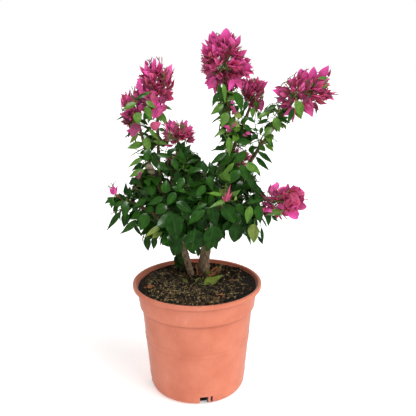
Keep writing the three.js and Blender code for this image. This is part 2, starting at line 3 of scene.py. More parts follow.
import bpy
import numpy as np
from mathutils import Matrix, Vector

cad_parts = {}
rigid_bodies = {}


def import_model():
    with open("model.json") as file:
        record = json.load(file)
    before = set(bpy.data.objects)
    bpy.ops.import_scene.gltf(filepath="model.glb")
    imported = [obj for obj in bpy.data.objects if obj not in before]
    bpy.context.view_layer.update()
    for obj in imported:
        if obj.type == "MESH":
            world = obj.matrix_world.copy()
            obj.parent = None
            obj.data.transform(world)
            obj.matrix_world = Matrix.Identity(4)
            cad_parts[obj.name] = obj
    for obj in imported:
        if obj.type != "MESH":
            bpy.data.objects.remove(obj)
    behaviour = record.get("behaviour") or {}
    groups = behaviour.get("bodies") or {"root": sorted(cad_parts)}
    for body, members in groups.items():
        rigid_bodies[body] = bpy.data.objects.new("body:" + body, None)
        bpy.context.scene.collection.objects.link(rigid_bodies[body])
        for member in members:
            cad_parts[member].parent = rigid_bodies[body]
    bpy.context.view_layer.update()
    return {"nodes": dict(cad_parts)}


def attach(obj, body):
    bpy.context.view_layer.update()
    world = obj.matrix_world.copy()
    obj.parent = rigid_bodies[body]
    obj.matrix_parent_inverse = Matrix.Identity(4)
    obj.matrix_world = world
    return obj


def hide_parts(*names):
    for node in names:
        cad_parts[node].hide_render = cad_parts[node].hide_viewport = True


# A bougainvillea bush in its terracotta-coloured nursery pot. The dictionaries hold millimetres,
# the meshes hold metres, +Z is up and the best side of the bush faces -Y.
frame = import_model()
mm = 0.001
golden = np.pi * (3 - 5 ** 0.5)
up = np.array([0.0, 0.0, 1.0])
white = (1, 1, 1, 1)
print("frame loaded:", len(frame["nodes"]), "nodes")

# Camera and studio

camera = {
    "place": (20.3, -982, 605),
    "pitchDown": 14.7,  # degrees below the horizon
    "focalPixels": 560,
    "imagePixels": 416,
    "sensor": 36,
}
studio = {
    "ambient": 0.5,
    "mirrored": 0.1,  # what glossy skins reflect, darker than the backdrop
    "backdrop": 1.0,
    "floor": "#fdfcfb",
    "floorGlow": 0.32,
    "floorRoughness": 0.9,
    "floorRadius": 30000,
    "floorSides": 96,
    "suns": {  # from, strength, angle in degrees
        "key": ((1.25, -0.75, 1.3), 2.15, 50),
        "rear": ((0.1, 1.0, 0.9), 0.35, 60),
        "front": ((-0.35, -1.0, 1.25), 0.4, 20),
        "glint": ((-0.35, -1.0, 1.25), 1.3, 7),  # the only one that shows in gloss, and only there
    },
}


# sRGB to linear: the 2.4 power curve, and a straight line for the darkest tones
def linear(hexColour):
    parts = np.array([int(hexColour[i:i + 2], 16) / 255 for i in (1, 3, 5)])
    curved = np.where(parts <= 0.04045, parts / 12.92, ((parts + 0.055) / 1.055) ** 2.4)
    return (*curved, 1.0)


# Sets a node's inputs: numbers and colours as they are, other nodes' output sockets by a link
def setInputs(node, inputs):
    for key, value in inputs.items():
        if isinstance(value, bpy.types.NodeSocket):
            node.id_data.links.new(value, node.inputs[key])
        else:
            node.inputs[key].default_value = value


# Adds a node of a kind to a tree. Stops fill a colour ramp, and settings are the node's own values.
def addNode(tree, kind, inputs=None, stops=(), **settings):
    node = tree.nodes.new("ShaderNode" + kind)
    for key, value in settings.items():
        setattr(node, key, value)
    if stops:
        while len(node.color_ramp.elements) < len(stops):
            node.color_ramp.elements.new(0.5)
        for element, (place, colour) in zip(node.color_ramp.elements, stops):
            element.position = place
            element.color = linear(colour)
    setInputs(node, inputs or {})
    return node


# An empty material with a principled shader joined to its output
def newMaterial(name):
    material = bpy.data.materials.new(name)
    material.use_nodes = True
    tree = material.node_tree
    tree.nodes.clear()
    shader = addNode(tree, "BsdfPrincipled")
    addNode(tree, "OutputMaterial", {"Surface": shader.outputs["BSDF"]})
    return material, tree, shader


# A camera that looks straight ahead and down by the pitch
def addCamera():
    data = bpy.data.cameras.new("camera")
    data.sensor_width = camera["sensor"]
    data.lens = camera["focalPixels"] / camera["imagePixels"] * camera["sensor"]
    viewer = bpy.data.objects.new("camera", data)
    viewer.location = np.array(camera["place"]) * mm
    viewer.rotation_euler = (np.radians(90 - camera["pitchDown"]), 0, 0)
    bpy.context.scene.collection.objects.link(viewer)
    bpy.context.scene.camera = viewer
    bpy.context.scene.view_settings.view_transform = "Standard"


# A flat disc: the cosine and sine of even turns times the radius. The material is matt paper.
def addFloor():
    turn = np.linspace(0, 2 * np.pi, studio["floorSides"], endpoint=False)
    corners = np.stack([np.cos(turn), np.sin(turn), 0 * turn], axis=1) * studio["floorRadius"] * mm
    mesh = bpy.data.meshes.new("floor")
    mesh.from_pydata(corners.tolist(), [], [list(range(len(corners)))])
    floor = bpy.data.objects.new("floor", mesh)
    bpy.context.scene.collection.objects.link(floor)
    floor.visible_glossy = False
    material, _, shader = newMaterial("paperFloor")
    setInputs(shader, {"Base Color": linear(studio["floor"]), "Emission Color": white,
                       "Emission Strength": studio["floorGlow"], "Roughness": studio["floorRoughness"]})
    mesh.materials.append(material)


# Wide suns, soft as large boxes
def addLights():
    for name, (source, strength, angle) in studio["suns"].items():
        data = bpy.data.lights.new(name, "SUN")
        data.energy = strength
        data.angle = np.radians(angle)
        lamp = bpy.data.objects.new(name, data)
        lamp.location = source
        lamp.visible_glossy = name == "glint"
        lamp.visible_diffuse = name != "glint"
        lamp.rotation_euler = Vector(source).to_track_quat("Z", "Y").to_euler()
        bpy.context.scene.collection.objects.link(lamp)


# A pale world that lights by one strength, shows in gloss by another and is white behind the bush
def addWorld():
    world = bpy.data.worlds.new("studio")
    world.use_nodes = True
    tree = world.node_tree
    tree.nodes.clear()
    ambient, mirrored, backdrop = (
        addNode(tree, "Background", {"Color": white, "Strength": studio[part]}).outputs[0]
        for part in ("ambient", "mirrored", "backdrop"))
    path = addNode(tree, "LightPath").outputs
    seen = addNode(tree, "MixShader", {0: path["Is Glossy Ray"], 1: ambient, 2: mirrored})
    shown = addNode(tree, "MixShader", {0: path["Is Camera Ray"], 1: seen.outputs[0], 2: backdrop})
    addNode(tree, "OutputWorld", {"Surface": shown.outputs[0]})
    bpy.context.scene.world = world


addCamera()
addFloor()
addLights()
addWorld()
print("camera and studio ready")

# Numbers, directions and paths


# The source's seeded number from 0 to 1: two odd multiplies, then shifts and multiplies in 32 bits
def chance(seed, index):
    low = np.uint64(0xFFFFFFFF)
    index = np.asarray(index, dtype=np.uint64)
    first = (np.full(index.shape, seed, np.uint64) ^ np.uint64(0x9E3779B9)) * np.uint64(0x85EBCA6B)
    second = (index + np.uint64(1)) * np.uint64(0xC2B2AE35)
    value = (first ^ second) & low
    for shift, factor in ((15, 0x2C1B3C6D), (12, 0x297A2D39), (15, 1)):
        value = ((value ^ (value >> np.uint64(shift))) * np.uint64(factor)) & low
    return value.astype(float) / 2 ** 32


# A further number from 0 to 1 out of a drawn one: what is left of some times it over the whole
def again(draw, times):
    return (draw * times) % 1


# The value a part of the way from the first of a pair to the second
def between(pair, part):
    low, high = pair
    return low + (high - low) * part


# Each vector divided by its own length
def unit(vectors):
    length = np.linalg.norm(vectors, axis=-1, keepdims=True)
    return vectors / np.maximum(length, 1e-9)


# Smooth noise from -1 to 1: seeded values at the corners of cells, blended by a smooth step
def noise(points, size, seed):
    place = np.asarray(points, float) / size
    cell = np.floor(place)
    part = place - cell
    part = part * part * (3 - 2 * part)
    cell = cell.astype(np.int64)
    total = np.zeros(place.shape[:-1])
    for corner in np.ndindex(2, 2, 2):
        key = cell + np.array(corner)
        index = (key[..., 0] * 73856093) ^ (key[..., 1] * 19349663) ^ (key[..., 2] * 83492791)
        weight = np.prod(np.where(np.array(corner) == 1, part, 1 - part), axis=-1)
        total += weight * chance(seed, index & 0x7FFFFFFF)
    return 2 * total - 1


# Points of a path put evenly along its length, by interpolating against the running length
def evenly(points, count):
    step = np.linalg.norm(np.diff(points, axis=0), axis=1)
    length = np.concatenate([[0], np.cumsum(step)])
    target = np.linspace(0, length[-1], count)
    return np.stack([np.interp(target, length, points[:, i]) for i in range(3)], axis=1)


# Centripetal Catmull-Rom: between two points a cubic whose end slopes come from the neighbours,
# with the steps between points taken as the square roots of their distances
def smoothPath(points, count=201):
    p = np.array(points, float)
    p = np.vstack([2 * p[0] - p[1], p, 2 * p[-1] - p[-2]])
    gap = np.sqrt(np.linalg.norm(np.diff(p, axis=0), axis=1))
    t = np.linspace(0, 1, 81)[:, None]
    runs = []
    for i in range(1, len(p) - 2):
        a, b, c, d = p[i - 1:i + 3]
        before, here, after = gap[i - 1:i + 2]
        slopeB = here * ((b - a) / before - (c - a) / (before + here) + (c - b) / here)
        slopeC = here * ((c - b) / here - (d - b) / (here + after) + (d - c) / after)
        square = 3 * (c - b) - 2 * slopeB - slopeC
        cube = 2 * (b - c) + slopeB + slopeC
        runs.append(b + slopeB * t + square * t ** 2 + cube * t ** 3)
    return evenly(np.vstack(runs), count)


# Quadratic curves from a to c that lean towards b: shares of the three by the part's squares
def bends(a, b, c, count):
    t = np.linspace(0, 1, count)[:, None]
    a, b, c = (np.asarray(x, float)[..., None, :] for x in (a, b, c))
    return (1 - t) ** 2 * a + 2 * t * (1 - t) * b + t ** 2 * c


# The point at a part of a path's length
def spot(path, part):
    place = np.clip(part, 0, 1) * (len(path) - 1)
    steps = np.arange(len(path))
    return np.stack([np.interp(place, steps, path[:, i]) for i in range(3)], axis=-1)


# The direction of a path at a part of its length
def heading(path, part):
    return unit(spot(path, np.asarray(part) + 0.02) - spot(path, np.asarray(part) - 0.02))


# Two directions across each heading
def acrossFrames(along):
    across = np.cross(along, up)
    flat = np.linalg.norm(across, axis=-1) < 0.03
    across[flat] = [1, 0, 0]
    across = unit(across)
    return across, np.cross(across, along)


# Directions round a heading: the turn's cosine one way across it and its sine the other way
def around(turn, across, over):
    if np.ndim(turn) > 1:
        across, over = across[:, None], over[:, None]
    return np.cos(turn)[..., None] * across + np.sin(turn)[..., None] * over


# Meshes

tubeEnds = {
    "cone": 0.6,  # end radii
    "sunk": 0.01,
}


# Closed skins from rings of points: neighbours on two rings make four-sided faces, and a point
# beyond the first and last ring closes each end with a fan of three-sided faces. The last sides
# that turned counts are split along the other diagonal, so that two thin skins never cross.
def loft(rings, starts, ends, ringMap=None, slots=0, turned=0):
    count, rows, sides = rings.shape[:3]
    size = rows * sides + 2
    points = np.concatenate([rings.reshape(count, -1, 3), starts[:, None], ends[:, None]], axis=1)
    row, side = np.meshgrid(np.arange(rows - 1), np.arange(sides), indexing="ij")
    following = (side + 1) % sides
    quads = np.stack([row * sides + side, row * sides + following,
                      (row + 1) * sides + following, (row + 1) * sides + side], axis=-1)
    if turned:
        quads[:, -turned:] = np.roll(quads[:, -turned:], -1, axis=-1)
    side = np.arange(sides)
    following = (side + 1) % sides
    lastRow = (rows - 1) * sides
    first = np.stack([np.full(sides, size - 2), following, side], axis=-1)
    last = np.stack([np.full(sides, size - 1), lastRow + side, lastRow + following], axis=-1)
    offset = (np.arange(count) * size)[:, None, None]
    quads = quads.reshape(1, -1, 4) + offset
    triangles = np.concatenate([first, last])[None] + offset
    if np.ndim(slots) < 2:
        slots = np.broadcast_to(np.reshape(slots, (-1, 1)), (count, sides))
    skin = {"points": points.reshape(-1, 3), "quads": quads.reshape(-1, 4),
            "quadSlots": np.repeat(slots[:, None], rows - 1, axis=1).reshape(-1),
            "triangles": triangles.reshape(-1, 3),
            "triangleSlots": np.concatenate([slots, slots], axis=1).reshape(-1)}
    if ringMap is not None:
        poleMap = np.array([[0.5, 0.0], [0.5, 1.0]])
        skin["map"] = np.tile(np.concatenate([ringMap.reshape(-1, 2), poleMap]), (count, 1))
    return skin


# One mesh object from several skins, in metres, riding on the fixed body
def makePiece(name, skins, materials, nodes=(), smoothAngle=60):
    offsets = np.cumsum([0] + [len(skin["points"]) for skin in skins[:-1]])
    points = np.concatenate([skin["points"] for skin in skins]) * mm
    quads, triangles = (np.concatenate([skin[part] + o for skin, o in zip(skins, offsets)])
                        for part in ("quads", "triangles"))
    corners = np.concatenate([quads.ravel(), triangles.ravel()]).astype(np.int32)
    sizes = np.concatenate([np.full(len(quads), 4), np.full(len(triangles), 3)])
    slots = np.concatenate([skin[part] for part in ("quadSlots", "triangleSlots") for skin in skins])
    mesh = bpy.data.meshes.new(name)
    mesh.vertices.add(len(points))
    mesh.vertices.foreach_set("co", points.astype(np.float32).ravel())
    mesh.loops.add(len(corners))
    mesh.loops.foreach_set("vertex_index", corners)
    mesh.polygons.add(len(sizes))
    starts = np.concatenate([[0], np.cumsum(sizes)[:-1]]).astype(np.int32)
    mesh.polygons.foreach_set("loop_start", starts)
    mesh.polygons.foreach_set("material_index", slots.astype(np.int32))
    mesh.polygons.foreach_set("use_smooth", np.ones(len(sizes), bool))
    if "map" in skins[0]:
        flat = np.concatenate([skin["map"] for skin in skins])
        mesh.uv_layers.new(name="bladeMap").data.foreach_set(
            "uv", flat[corners].astype(np.float32).ravel())
    for material in materials:
        mesh.materials.append(material)
    mesh.update(calc_edges=True)
    mesh.validate()
    mesh.set_sharp_from_angle(angle=np.radians(smoothAngle))
    piece = bpy.data.objects.new(name, mesh)
    bpy.context.scene.collection.objects.link(piece)
    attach(piece, "root")
    if nodes:
        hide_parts(*nodes)
    print(name, "has", int(np.sum(sizes - 2)), "triangles")
    return piece


# Rings of tubes: at each path point, the point plus the radius times the cosine of the turn along
# one direction across the path and the sine along the other. Radii may differ round each ring.
def tubeRings(paths, radii, sides):
    along = unit(np.gradient(paths, axis=1))
    chord = np.abs(unit(paths[:, -1] - paths[:, 0]))
    guide = np.eye(3)[np.argmin(chord, axis=-1)][:, None]
    side = unit(np.cross(along, guide))
    over = np.cross(along, side)
    turn = np.arange(sides) * 2 * np.pi / sides
    round3 = (np.cos(turn)[:, None] * side[:, :, None] + np.sin(turn)[:, None] * over[:, :, None])
    radii = radii[..., None] if np.ndim(radii) == 2 else radii
    return paths[:, :, None] + round3 * radii[..., None]


# Tubes closed by a short cone at each end
def tubes(paths, radii, sides, slots=0):
    tip = unit(paths[:, -1] - paths[:, -2])
    foot = unit(paths[:, 1] - paths[:, 0])
    endRadius = np.reshape(radii, (len(paths), paths.shape[1], -1))[:, -1, :1]
    return loft(tubeRings(paths, radii, sides), paths[:, 0] - foot * tubeEnds["sunk"],
                paths[:, -1] + tip * tubeEnds["cone"] * endRadius, slots=slots)


# Tubes that all have the same radii along them
def alikeTubes(paths, radii, sides, slots=0):
    return tubes(paths, np.broadcast_to(radii, paths.shape[:2]), sides, slots)


# The pot

pot = {
    "height": 208,
    "wallFoot": 89.3,
    "wallTop": 103.6,
    "shoulder": 163.4,
    "collarFoot": 107.4,
    "collarTop": 110.4,
    "flare": (3.0, 16),  # what the collar gains under the rim, and how soon that fades below it
    "rimUnder": 199,
    "rimOuter": 120,
    "rimInner": 113.6,
    "thick": 2.5,
    "floor": 3,
    "footRound": 11,
    # Height, size and half width of faint rings round the wall
    "ridges": ((98.6, 0.9, 0.9), (108.6, 0.9, 0.9), (28, 0.6, 1.3)),
    "drains": {"count": 4, "width": 23.5, "height": 17, "radius": 75, "turn": 11.3, "rib": 4.4,
               "ribAside": 5.5, "side": 2e-3},  # the slot's side walls lean by this turn
    "dent": (0.18, 60, 3),  # depth, width and seed of a faint unevenness
    "dentFrom": 20,
    "rows": {"base": 6, "wall": 74, "collar": 12, "inside": 22},
    "columns": 168,
    # Heights of the faint lines of painted shade just under the rings, under the shoulder and under the
    # rim, and how dark each is
    "paintedShadeLines": ((25, "#000000"), (27, "#505050"), (29, "#000000"), (95.5, "#000000"),
                (97.2, "#707070"), (98.8, "#000000"), (105.5, "#000000"), (107.2, "#707070"),
                (108.8, "#000000"), (155.4, "#000000"), (161.8, "#c0c0c0"), (163.8, "#000000"),
                (193, "#000000"), (199.4, "#e0e0e0"), (201.4, "#000000")),
    "paintedShadeLineDepth": 0.8,
    "tones": ((0.3, "#cf7255"), (0.52, "#d87c5e"), (0.72, "#de8468")),
    "chalk": "#f3b9a4",
    "dust": "#8a6654",
    # the colour that the painted shade lines mix towards
    "paintedShadeLineTone": "#b4624a",
    # painted shade for the insides of the drain slots
    "paintedSlotShade": "#4c3b33",
    "sheen": (0.42, 0.35),  # weight and roughness
}


# A straight run of points from one to the other, without the last
def run(start, end, count):
    part = np.linspace(0, 1, count, endpoint=False)[:, None]
    return np.array(start) * (1 - part) + np.array(end) * part


# A round run: the centre plus the radius times the cosine and sine of even angles, in degrees
def arc(centre, radius, first, last, count):
    turn = np.radians(np.linspace(first, last, count))
    return np.array(centre) + radius * np.stack([np.cos(turn), np.sin(turn)], axis=1)


# The wall's outer radius at a height: a straight line below the shoulder, and above it one with a
# flare that fades by a power of e with the distance under the rim
def wallRadius(height):
    low = np.interp(height, [0, pot["shoulder"]], [pot["wallFoot"], pot["wallTop"]])
    collar = [pot["collarFoot"], pot["collarTop"]]
    high = np.interp(height, [pot["shoulder"], pot["rimUnder"]], collar)
    gain, fade = pot["flare"]
    high = high + gain * np.exp(-np.maximum(pot["rimUnder"] - np.asarray(height), 0) / fade)
    return np.where(np.asarray(height) <= pot["shoulder"], low, high)


# Points of the wall at heights, moved outward by some millimetres
def wallRun(first, last, count, outward=0):
    heights = np.linspace(first, last, count)
    return np.stack([wallRadius(heights) + outward, heights], axis=1)


# The pot's outline from the middle of its underside, up the outside, over the rim and down inside.
# The small offsets are the rounds of its edges, from 1.3 mm under the rim to 2.6 mm over it.
def potProfile():
    p, rows = pot, pot["rows"]
    outer, inner, top = p["rimOuter"], p["rimInner"], p["height"]
    foot = p["footRound"]
    wall = wallRun(foot + 0.6, p["shoulder"] - 1.6, rows["wall"])
    for height, size, halfWidth in p["ridges"]:
        wall[:, 0] += size * np.exp(-((wall[:, 1] - height) / halfWidth) ** 2)
    below, above = float(wallRadius(p["shoulder"])), float(wallRadius(p["shoulder"] + 0.1))
    shoulder = np.array([[below, -1.1], [below - 0.1, -0.6], [below + 0.3, -0.1],
                         [above - 0.4, 0.3], [above, 1.0]]) + [0, p["shoulder"]]
    collarEnd = float(wallRadius(p["rimUnder"]))
    return np.concatenate([
        run((3, 0), (p["drains"]["radius"] - 1, 0), rows["base"]),
        arc((p["wallFoot"] - foot + 0.6, foot), foot, -90, -4, 16),
        wall, shoulder, wallRun(p["shoulder"] + 2, p["rimUnder"] - 1.4, rows["collar"]),
        arc((collarEnd + 1.3, p["rimUnder"] - 1.2), 1.3, 175, 92, 4),
        run((collarEnd + 2.2, p["rimUnder"] + 0.1), (outer - 2.4, p["rimUnder"] + 0.3), 4),
        arc((outer - 2.4, p["rimUnder"] + 2.6), 2.3, -90, -5, 6),
        run((outer - 0.05, p["rimUnder"] + 3), (outer - 0.05, top - 2.9), 3),
        arc((outer - 2.5, top - 2.5), 2.5, 4, 88, 7),
        arc((inner + 2.6, top - 2.6), 2.6, 88, 178, 6),
        run((inner - 0.2, top - 4), (collarEnd - p["thick"], p["rimUnder"] + 1), 3),
        wallRun(p["rimUnder"] - 1, foot + 2, rows["inside"], -p["thick"]),
        run((wallRadius(3) - p["thick"], p["floor"]), (3, p["floor"]), 6),
    ])


# The outline turned round the axis, with the foot's rows pulled in at each drain slot
def makePot(material):
    drains = pot["drains"]
    profile = potProfile()
    base = pot["rows"]["base"]
    slotTurns = np.radians(drains["turn"] - 90) + np.arange(drains["count"]) * 2 * np.pi / drains["count"]
    half = drains["width"] / 2 / pot["wallFoot"]
    rib, ribHalf = drains["ribAside"] / pot["wallFoot"], drains["rib"] / 2 / pot["wallFoot"]
    edges = np.array([-half, half, rib - ribHalf, rib + ribHalf])
    edges = np.concatenate([edges + np.array([-1, 1, 1, -1]) * drains["side"], edges])
    edges = (slotTurns[:, None] + edges).ravel()
    even = np.arange(pot["columns"]) * 2 * np.pi / pot["columns"]
    turn = np.unique(np.concatenate([even, edges % (2 * np.pi)]))
    aside = (turn[:, None] - slotTurns + np.pi) % (2 * np.pi) - np.pi
    aside = aside[np.arange(len(turn)), np.abs(aside).argmin(axis=1)]
    inSlot = (np.abs(aside) < half + 1e-3) & (np.abs(aside - rib) > ribHalf - 1e-3)
    radius = np.repeat(profile[:, :1], len(turn), axis=1)
    height = np.repeat(profile[:, 1:], len(turn), axis=1)
    firstAbove = base + np.flatnonzero(profile[base:, 1] > drains["height"])[0]
    footRows = np.arange(base, firstAbove)
    rise = np.linspace(0, 1, len(footRows))
    lintel = float(wallRadius(drains["height"]))
    slotRadius = np.interp(rise, [0, 0.5, 1], [drains["radius"], drains["radius"], lintel])
    slotHeight = np.interp(rise, [0, 0.5, 1], [0, drains["height"], drains["height"]])
    radius[np.ix_(footRows, inSlot)] = slotRadius[:, None]
    height[np.ix_(footRows, inSlot)] = slotHeight[:, None]
    inner = np.arange(len(profile))[:, None] > len(profile) // 2
    behind = inner & (height < drains["height"] + 2) & inSlot
    radius = np.where(behind, np.minimum(radius, drains["radius"] - pot["thick"]), radius)
    depth, width, seed = pot["dent"]
    circle = np.stack([np.cos(turn) * 90, np.sin(turn) * 90, 0 * turn], axis=1)
    radius = radius + depth * noise(circle, width, seed) * (height > pot["dentFrom"])
    rings = np.stack([radius * np.cos(turn), radius * np.sin(turn), height], axis=-1)[None]
    centre = np.array([[0.0, 0.0, 0.0]])
    skin = loft(rings, centre, centre + [0, 0, pot["floor"]])
    return makePiece("nurseryPot", [skin], [material], ["pot"], 35)


# Polypropylene, injection moulded with a satin face: soft wide gloss, faint chalky scuffs in
# upright streaks, and grey dust that gathers at the foot and under the rim. Painted shade darkens
# thin lines under the rings, the shoulder and the rim, and the insides of the drain slots.
def polypropyleneMaterial():
    material, tree, shader = newMaterial("terracottaPolypropylene")
    place = addNode(tree, "TexCoord").outputs["Object"]
    upward = addNode(tree, "SeparateXYZ", {0: place}).outputs["Z"]
    cloudy = addNode(tree, "TexNoise", {
        "Vector": place, "Scale": 1 / (45 * mm), "Detail": 3.0, "Roughness": 0.55})
    tone = addNode(tree, "ValToRGB", {"Fac": cloudy.outputs["Fac"]}, pot["tones"])
    stretched = addNode(tree, "Mapping", {"Vector": place, "Scale": (1, 1, 0.22)})
    streak = addNode(tree, "TexNoise", {
        "Vector": stretched.outputs[0], "Scale": 1 / (7 * mm), "Detail": 5.0, "Roughness": 0.65})
    scuff = addNode(tree, "MapRange", {
        "Value": streak.outputs["Fac"], "From Min": 0.6, "From Max": 0.78, "To Max": 0.28})
    low = addNode(tree, "MapRange", {
        "Value": upward, "From Min": 30 * mm, "From Max": 0.0, "To Max": 0.45})
    rim = addNode(tree, "MapRange", {
        "Value": upward, "From Min": 204.5 * mm, "From Max": 206.5 * mm, "To Max": 0.9})
    speck = addNode(tree, "TexNoise", {
        "Vector": place, "Scale": 1 / (3.2 * mm), "Detail": 3.0, "Roughness": 0.7})
    grit = addNode(tree, "MapRange", {
        "Value": speck.outputs["Fac"], "From Min": 0.56, "From Max": 0.66})
    where = addNode(tree, "Math", {0: low.outputs[0], 1: rim.outputs[0]}, operation="MAXIMUM")
    dirt = addNode(tree, "Math", {0: where.outputs[0], 1: grit.outputs[0]}, operation="MULTIPLY")
    part = addNode(tree, "Math", {0: upward, 1: pot["height"] * mm}, operation="DIVIDE")
    # Painted shade: a ramp by height gives thin dark lines under the rings, the shoulder and the rim
    stops = [(height / pot["height"], dark) for height, dark in pot["paintedShadeLines"]]
    line = addNode(tree, "ValToRGB", {"Fac": part.outputs[0]}, stops=stops)
    paintedShadeLines = addNode(tree, "Math", {0: line.outputs[0], 1: pot["paintedShadeLineDepth"]}, operation="MULTIPLY")
    # Painted shade inside each drain slot: what faces sideways within the wall and under the slot's top is
    # painted dark
    flat = addNode(tree, "VectorMath", {0: place, 1: (1, 1, 0)}, operation="MULTIPLY")
    reach = addNode(tree, "VectorMath", {0: flat.outputs[0]}, operation="LENGTH")
    inward = addNode(tree, "MapRange", {
        "Value": reach.outputs["Value"], "From Min": 88.5 * mm, "From Max": 87.5 * mm})
    under = addNode(tree, "MapRange", {"Value": upward, "From Min": 18.5 * mm, "From Max": 17.5 * mm})
    facing = addNode(tree, "SeparateXYZ", {0: addNode(tree, "NewGeometry").outputs["True Normal"]})
    upright = addNode(tree, "MapRange", {
        "Value": facing.outputs["Z"], "From Min": -0.1, "From Max": -0.05})
    within = addNode(tree, "Math", {0: inward.outputs[0], 1: under.outputs[0]}, operation="MULTIPLY")
    inSlot = addNode(tree, "Math", {0: within.outputs[0], 1: upright.outputs[0]}, operation="MULTIPLY")
    colour = tone.outputs[0]
    for cover, shade in ((scuff, "chalk"), (dirt, "dust"), (paintedShadeLines, "paintedShadeLineTone"), (inSlot, "paintedSlotShade")):
        colour = addNode(tree, "Mix", {0: cover.outputs[0], 6: colour, 7: linear(pot[shade])},
                         data_type="RGBA").outputs[2]
    rough = addNode(tree, "MapRange", {
        "Value": streak.outputs["Fac"], "From Min": 0.3, "From Max": 0.8, "To Min": 0.4, "To Max": 0.62})
    grain = addNode(tree, "TexNoise", {"Vector": place, "Scale": 1 / (1.2 * mm), "Detail": 2.0})
    bump = addNode(tree, "Bump", {
        "Strength": 0.12, "Distance": 0.3 * mm, "Height": grain.outputs["Fac"]})
    weight, spread = pot["sheen"]
    setInputs(shader, {"Base Color": colour, "Roughness": rough.outputs[0], "Normal": bump.outputs[0],
                       "Sheen Weight": weight, "Sheen Roughness": spread})
    return material


makePot(polypropyleneMaterial())

# The potting mix

mix = {
    "edge": 199.0,
    "crown": 200.8,
    "rearRise": 3.0,
    "rightRise": 3.0,
    "clear": 0.6,
    "lumps": ((16, 1.5), (6, 0.9), (2.6, 0.5)),  # size across, height
    "rings": 180,
    "seed": 41,
    "crumbs": 6500,
    "crumbReach": 103,
    "crumbHalf": (0.6, 4.2),
    "crumbSides": 5,
    "straws": 1500,
    "strawReach": 92,
    "strawLength": (5, 22),
    "strawTaper": (0.5, 0.9, 1, 1, 0.8, 0.4),
    "goldenPatch": (-52, -42, 50),  # x, y and spread of the tan fibrous patch
    "blackSide": (10, 60),  # from one x to the other the pale bits grow few
    # Tones past plain peat: slot, share of the crumbs, and what the patch adds to that
    "shares": ((3, 0.015, 0.08), (2, 0.05, 0.3), (4, 0.07, 0.38), (1, 0.45, 0)),
    "tones": {  # dark and light
        "darkPeat": ("#120e09", "#281f14"),
        "brownBark": ("#36291a", "#66502f"),
        "tanStraw": ("#7d6a46", "#bba577"),
        "goldenChip": ("#9c7848", "#cfac76"),
        "oliveMoss": ("#485022", "#788040"),
    },
}


# The mix's height: a mound that falls with the square of the radius, with three sizes of lump
def mixHeight(x, y):
    edgeRadius = float(wallRadius(mix["edge"])) - pot["thick"] - mix["clear"]
    part = np.minimum(np.hypot(x, y) / edgeRadius, 1)
    height = between((mix["crown"], mix["edge"]), part ** 2)
    rear = np.clip((y + 10) / 110, 0, 1)
    height = height + mix["rearRise"] * rear ** 2 * (3 - 2 * rear) * part
    height = height + mix["rightRise"] * np.clip(x / 105, 0, 1) ** 2
    place = np.stack([x, y, 0 * x], axis=-1)
    for i, (size, lump) in enumerate(mix["lumps"]):
        height = height + lump * noise(place, size, 50 + i)
    return height


# The body of mix turned round the axis, with its top rows lifted to the mix's height
def mixBody():
    heights = np.linspace(pot["floor"] + 0.4, mix["edge"] - 2, 12)
    side = np.stack([wallRadius(heights) - pot["thick"] - mix["clear"], heights], axis=1)
    side[0, 0] = pot["wallFoot"] - pot["footRound"] - 1
    top = np.stack([np.linspace(side[-1, 0] - 0.1, 1, 70), np.zeros(70)], axis=1)
    bottom = run((2, heights[0]), (side[0, 0] - 1, heights[0]), 3)
    profile = np.concatenate([bottom, side, top])
    turn = np.arange(mix["rings"]) * 2 * np.pi / mix["rings"]
    x = profile[:, :1] * np.cos(turn)
    y = profile[:, :1] * np.sin(turn)
    z = np.repeat(profile[:, 1:], len(turn), axis=1)
    firstTop = len(bottom) + len(side)
    z[firstTop:] = mixHeight(x[firstTop:], y[firstTop:])
    rings = np.stack([x, y, z], axis=-1)[None]
    start = np.array([[0.0, 0.0, heights[0]]])
    end = np.array([[0.0, 0.0, float(mixHeight(np.zeros(1), np.zeros(1))[0])]])
    return loft(rings, start, end)


# Random directions at right angles to each other, one set of three for each item
def randomFrames(rng, count):
    first = unit(rng.normal(size=(count, 3)))
    second = unit(np.cross(first, rng.normal(size=(count, 3))))
    return first, second, np.cross(first, second)


# Even random places on the mix inside a radius
def randomPlaces(rng, count, radius):
    distance = radius * np.sqrt(rng.random(count))
    turn = 2 * np.pi * rng.random(count)
    return distance * np.cos(turn), distance * np.sin(turn)


# Crumbs: two rings of five points and two ends, each pushed in or out by chance
def crumbSkin(rng):
    count, sides = mix["crumbs"], mix["crumbSides"]
    x, y = randomPlaces(rng, count, mix["crumbReach"])
    half = between(mix["crumbHalf"], rng.random(count) ** 2.6)
    height = mixHeight(x, y)
    ringTurn = np.arange(sides) * 2 * np.pi / sides
    tilt = np.array([-0.45, 0.45])[:, None]
    local = np.stack([np.cos(ringTurn) * np.cos(tilt), np.sin(ringTurn) * np.cos(tilt),
                      np.sin(tilt) + 0 * ringTurn], axis=-1)
    local = local[None] * (0.75 + 0.5 * rng.random((count, 2, sides, 1)))
    axes = np.stack(randomFrames(rng, count), axis=1)
    patchX, patchY, spread = mix["goldenPatch"]
    inPatch = np.exp(-((x - patchX) ** 2 + (y - patchY) ** 2) / spread ** 2)
    inPatch = inPatch + 0.5 * np.maximum(noise(np.stack([x, y, height], axis=1), 22, 44), 0)
    few = 1 - 0.75 * np.clip((x - mix["blackSide"][0]) / mix["blackSide"][1], 0, 1)
    draw = rng.random(count) / few
    slots = np.select([draw < share + more * inPatch for _, share, more in mix["shares"]],
                      [slot for slot, *_ in mix["shares"]], 0)
    pale = slots > 1
    half = np.where(pale, np.minimum(half, 1.0 + 0.3 * (half > 3.4) * half), half)
    shape = half[:, None] * (0.55 + 0.6 * rng.random((count, 3)))
    centre = np.stack([x, y, height + 0.25 * half + 0.3 * pale], axis=1)
    rings = centre[:, None, None] + (local * shape[:, None, None]) @ axes[:, None]
    polar = axes[:, 2] * shape[:, 2:]
    return loft(rings, centre - polar, centre + polar, slots=slots)


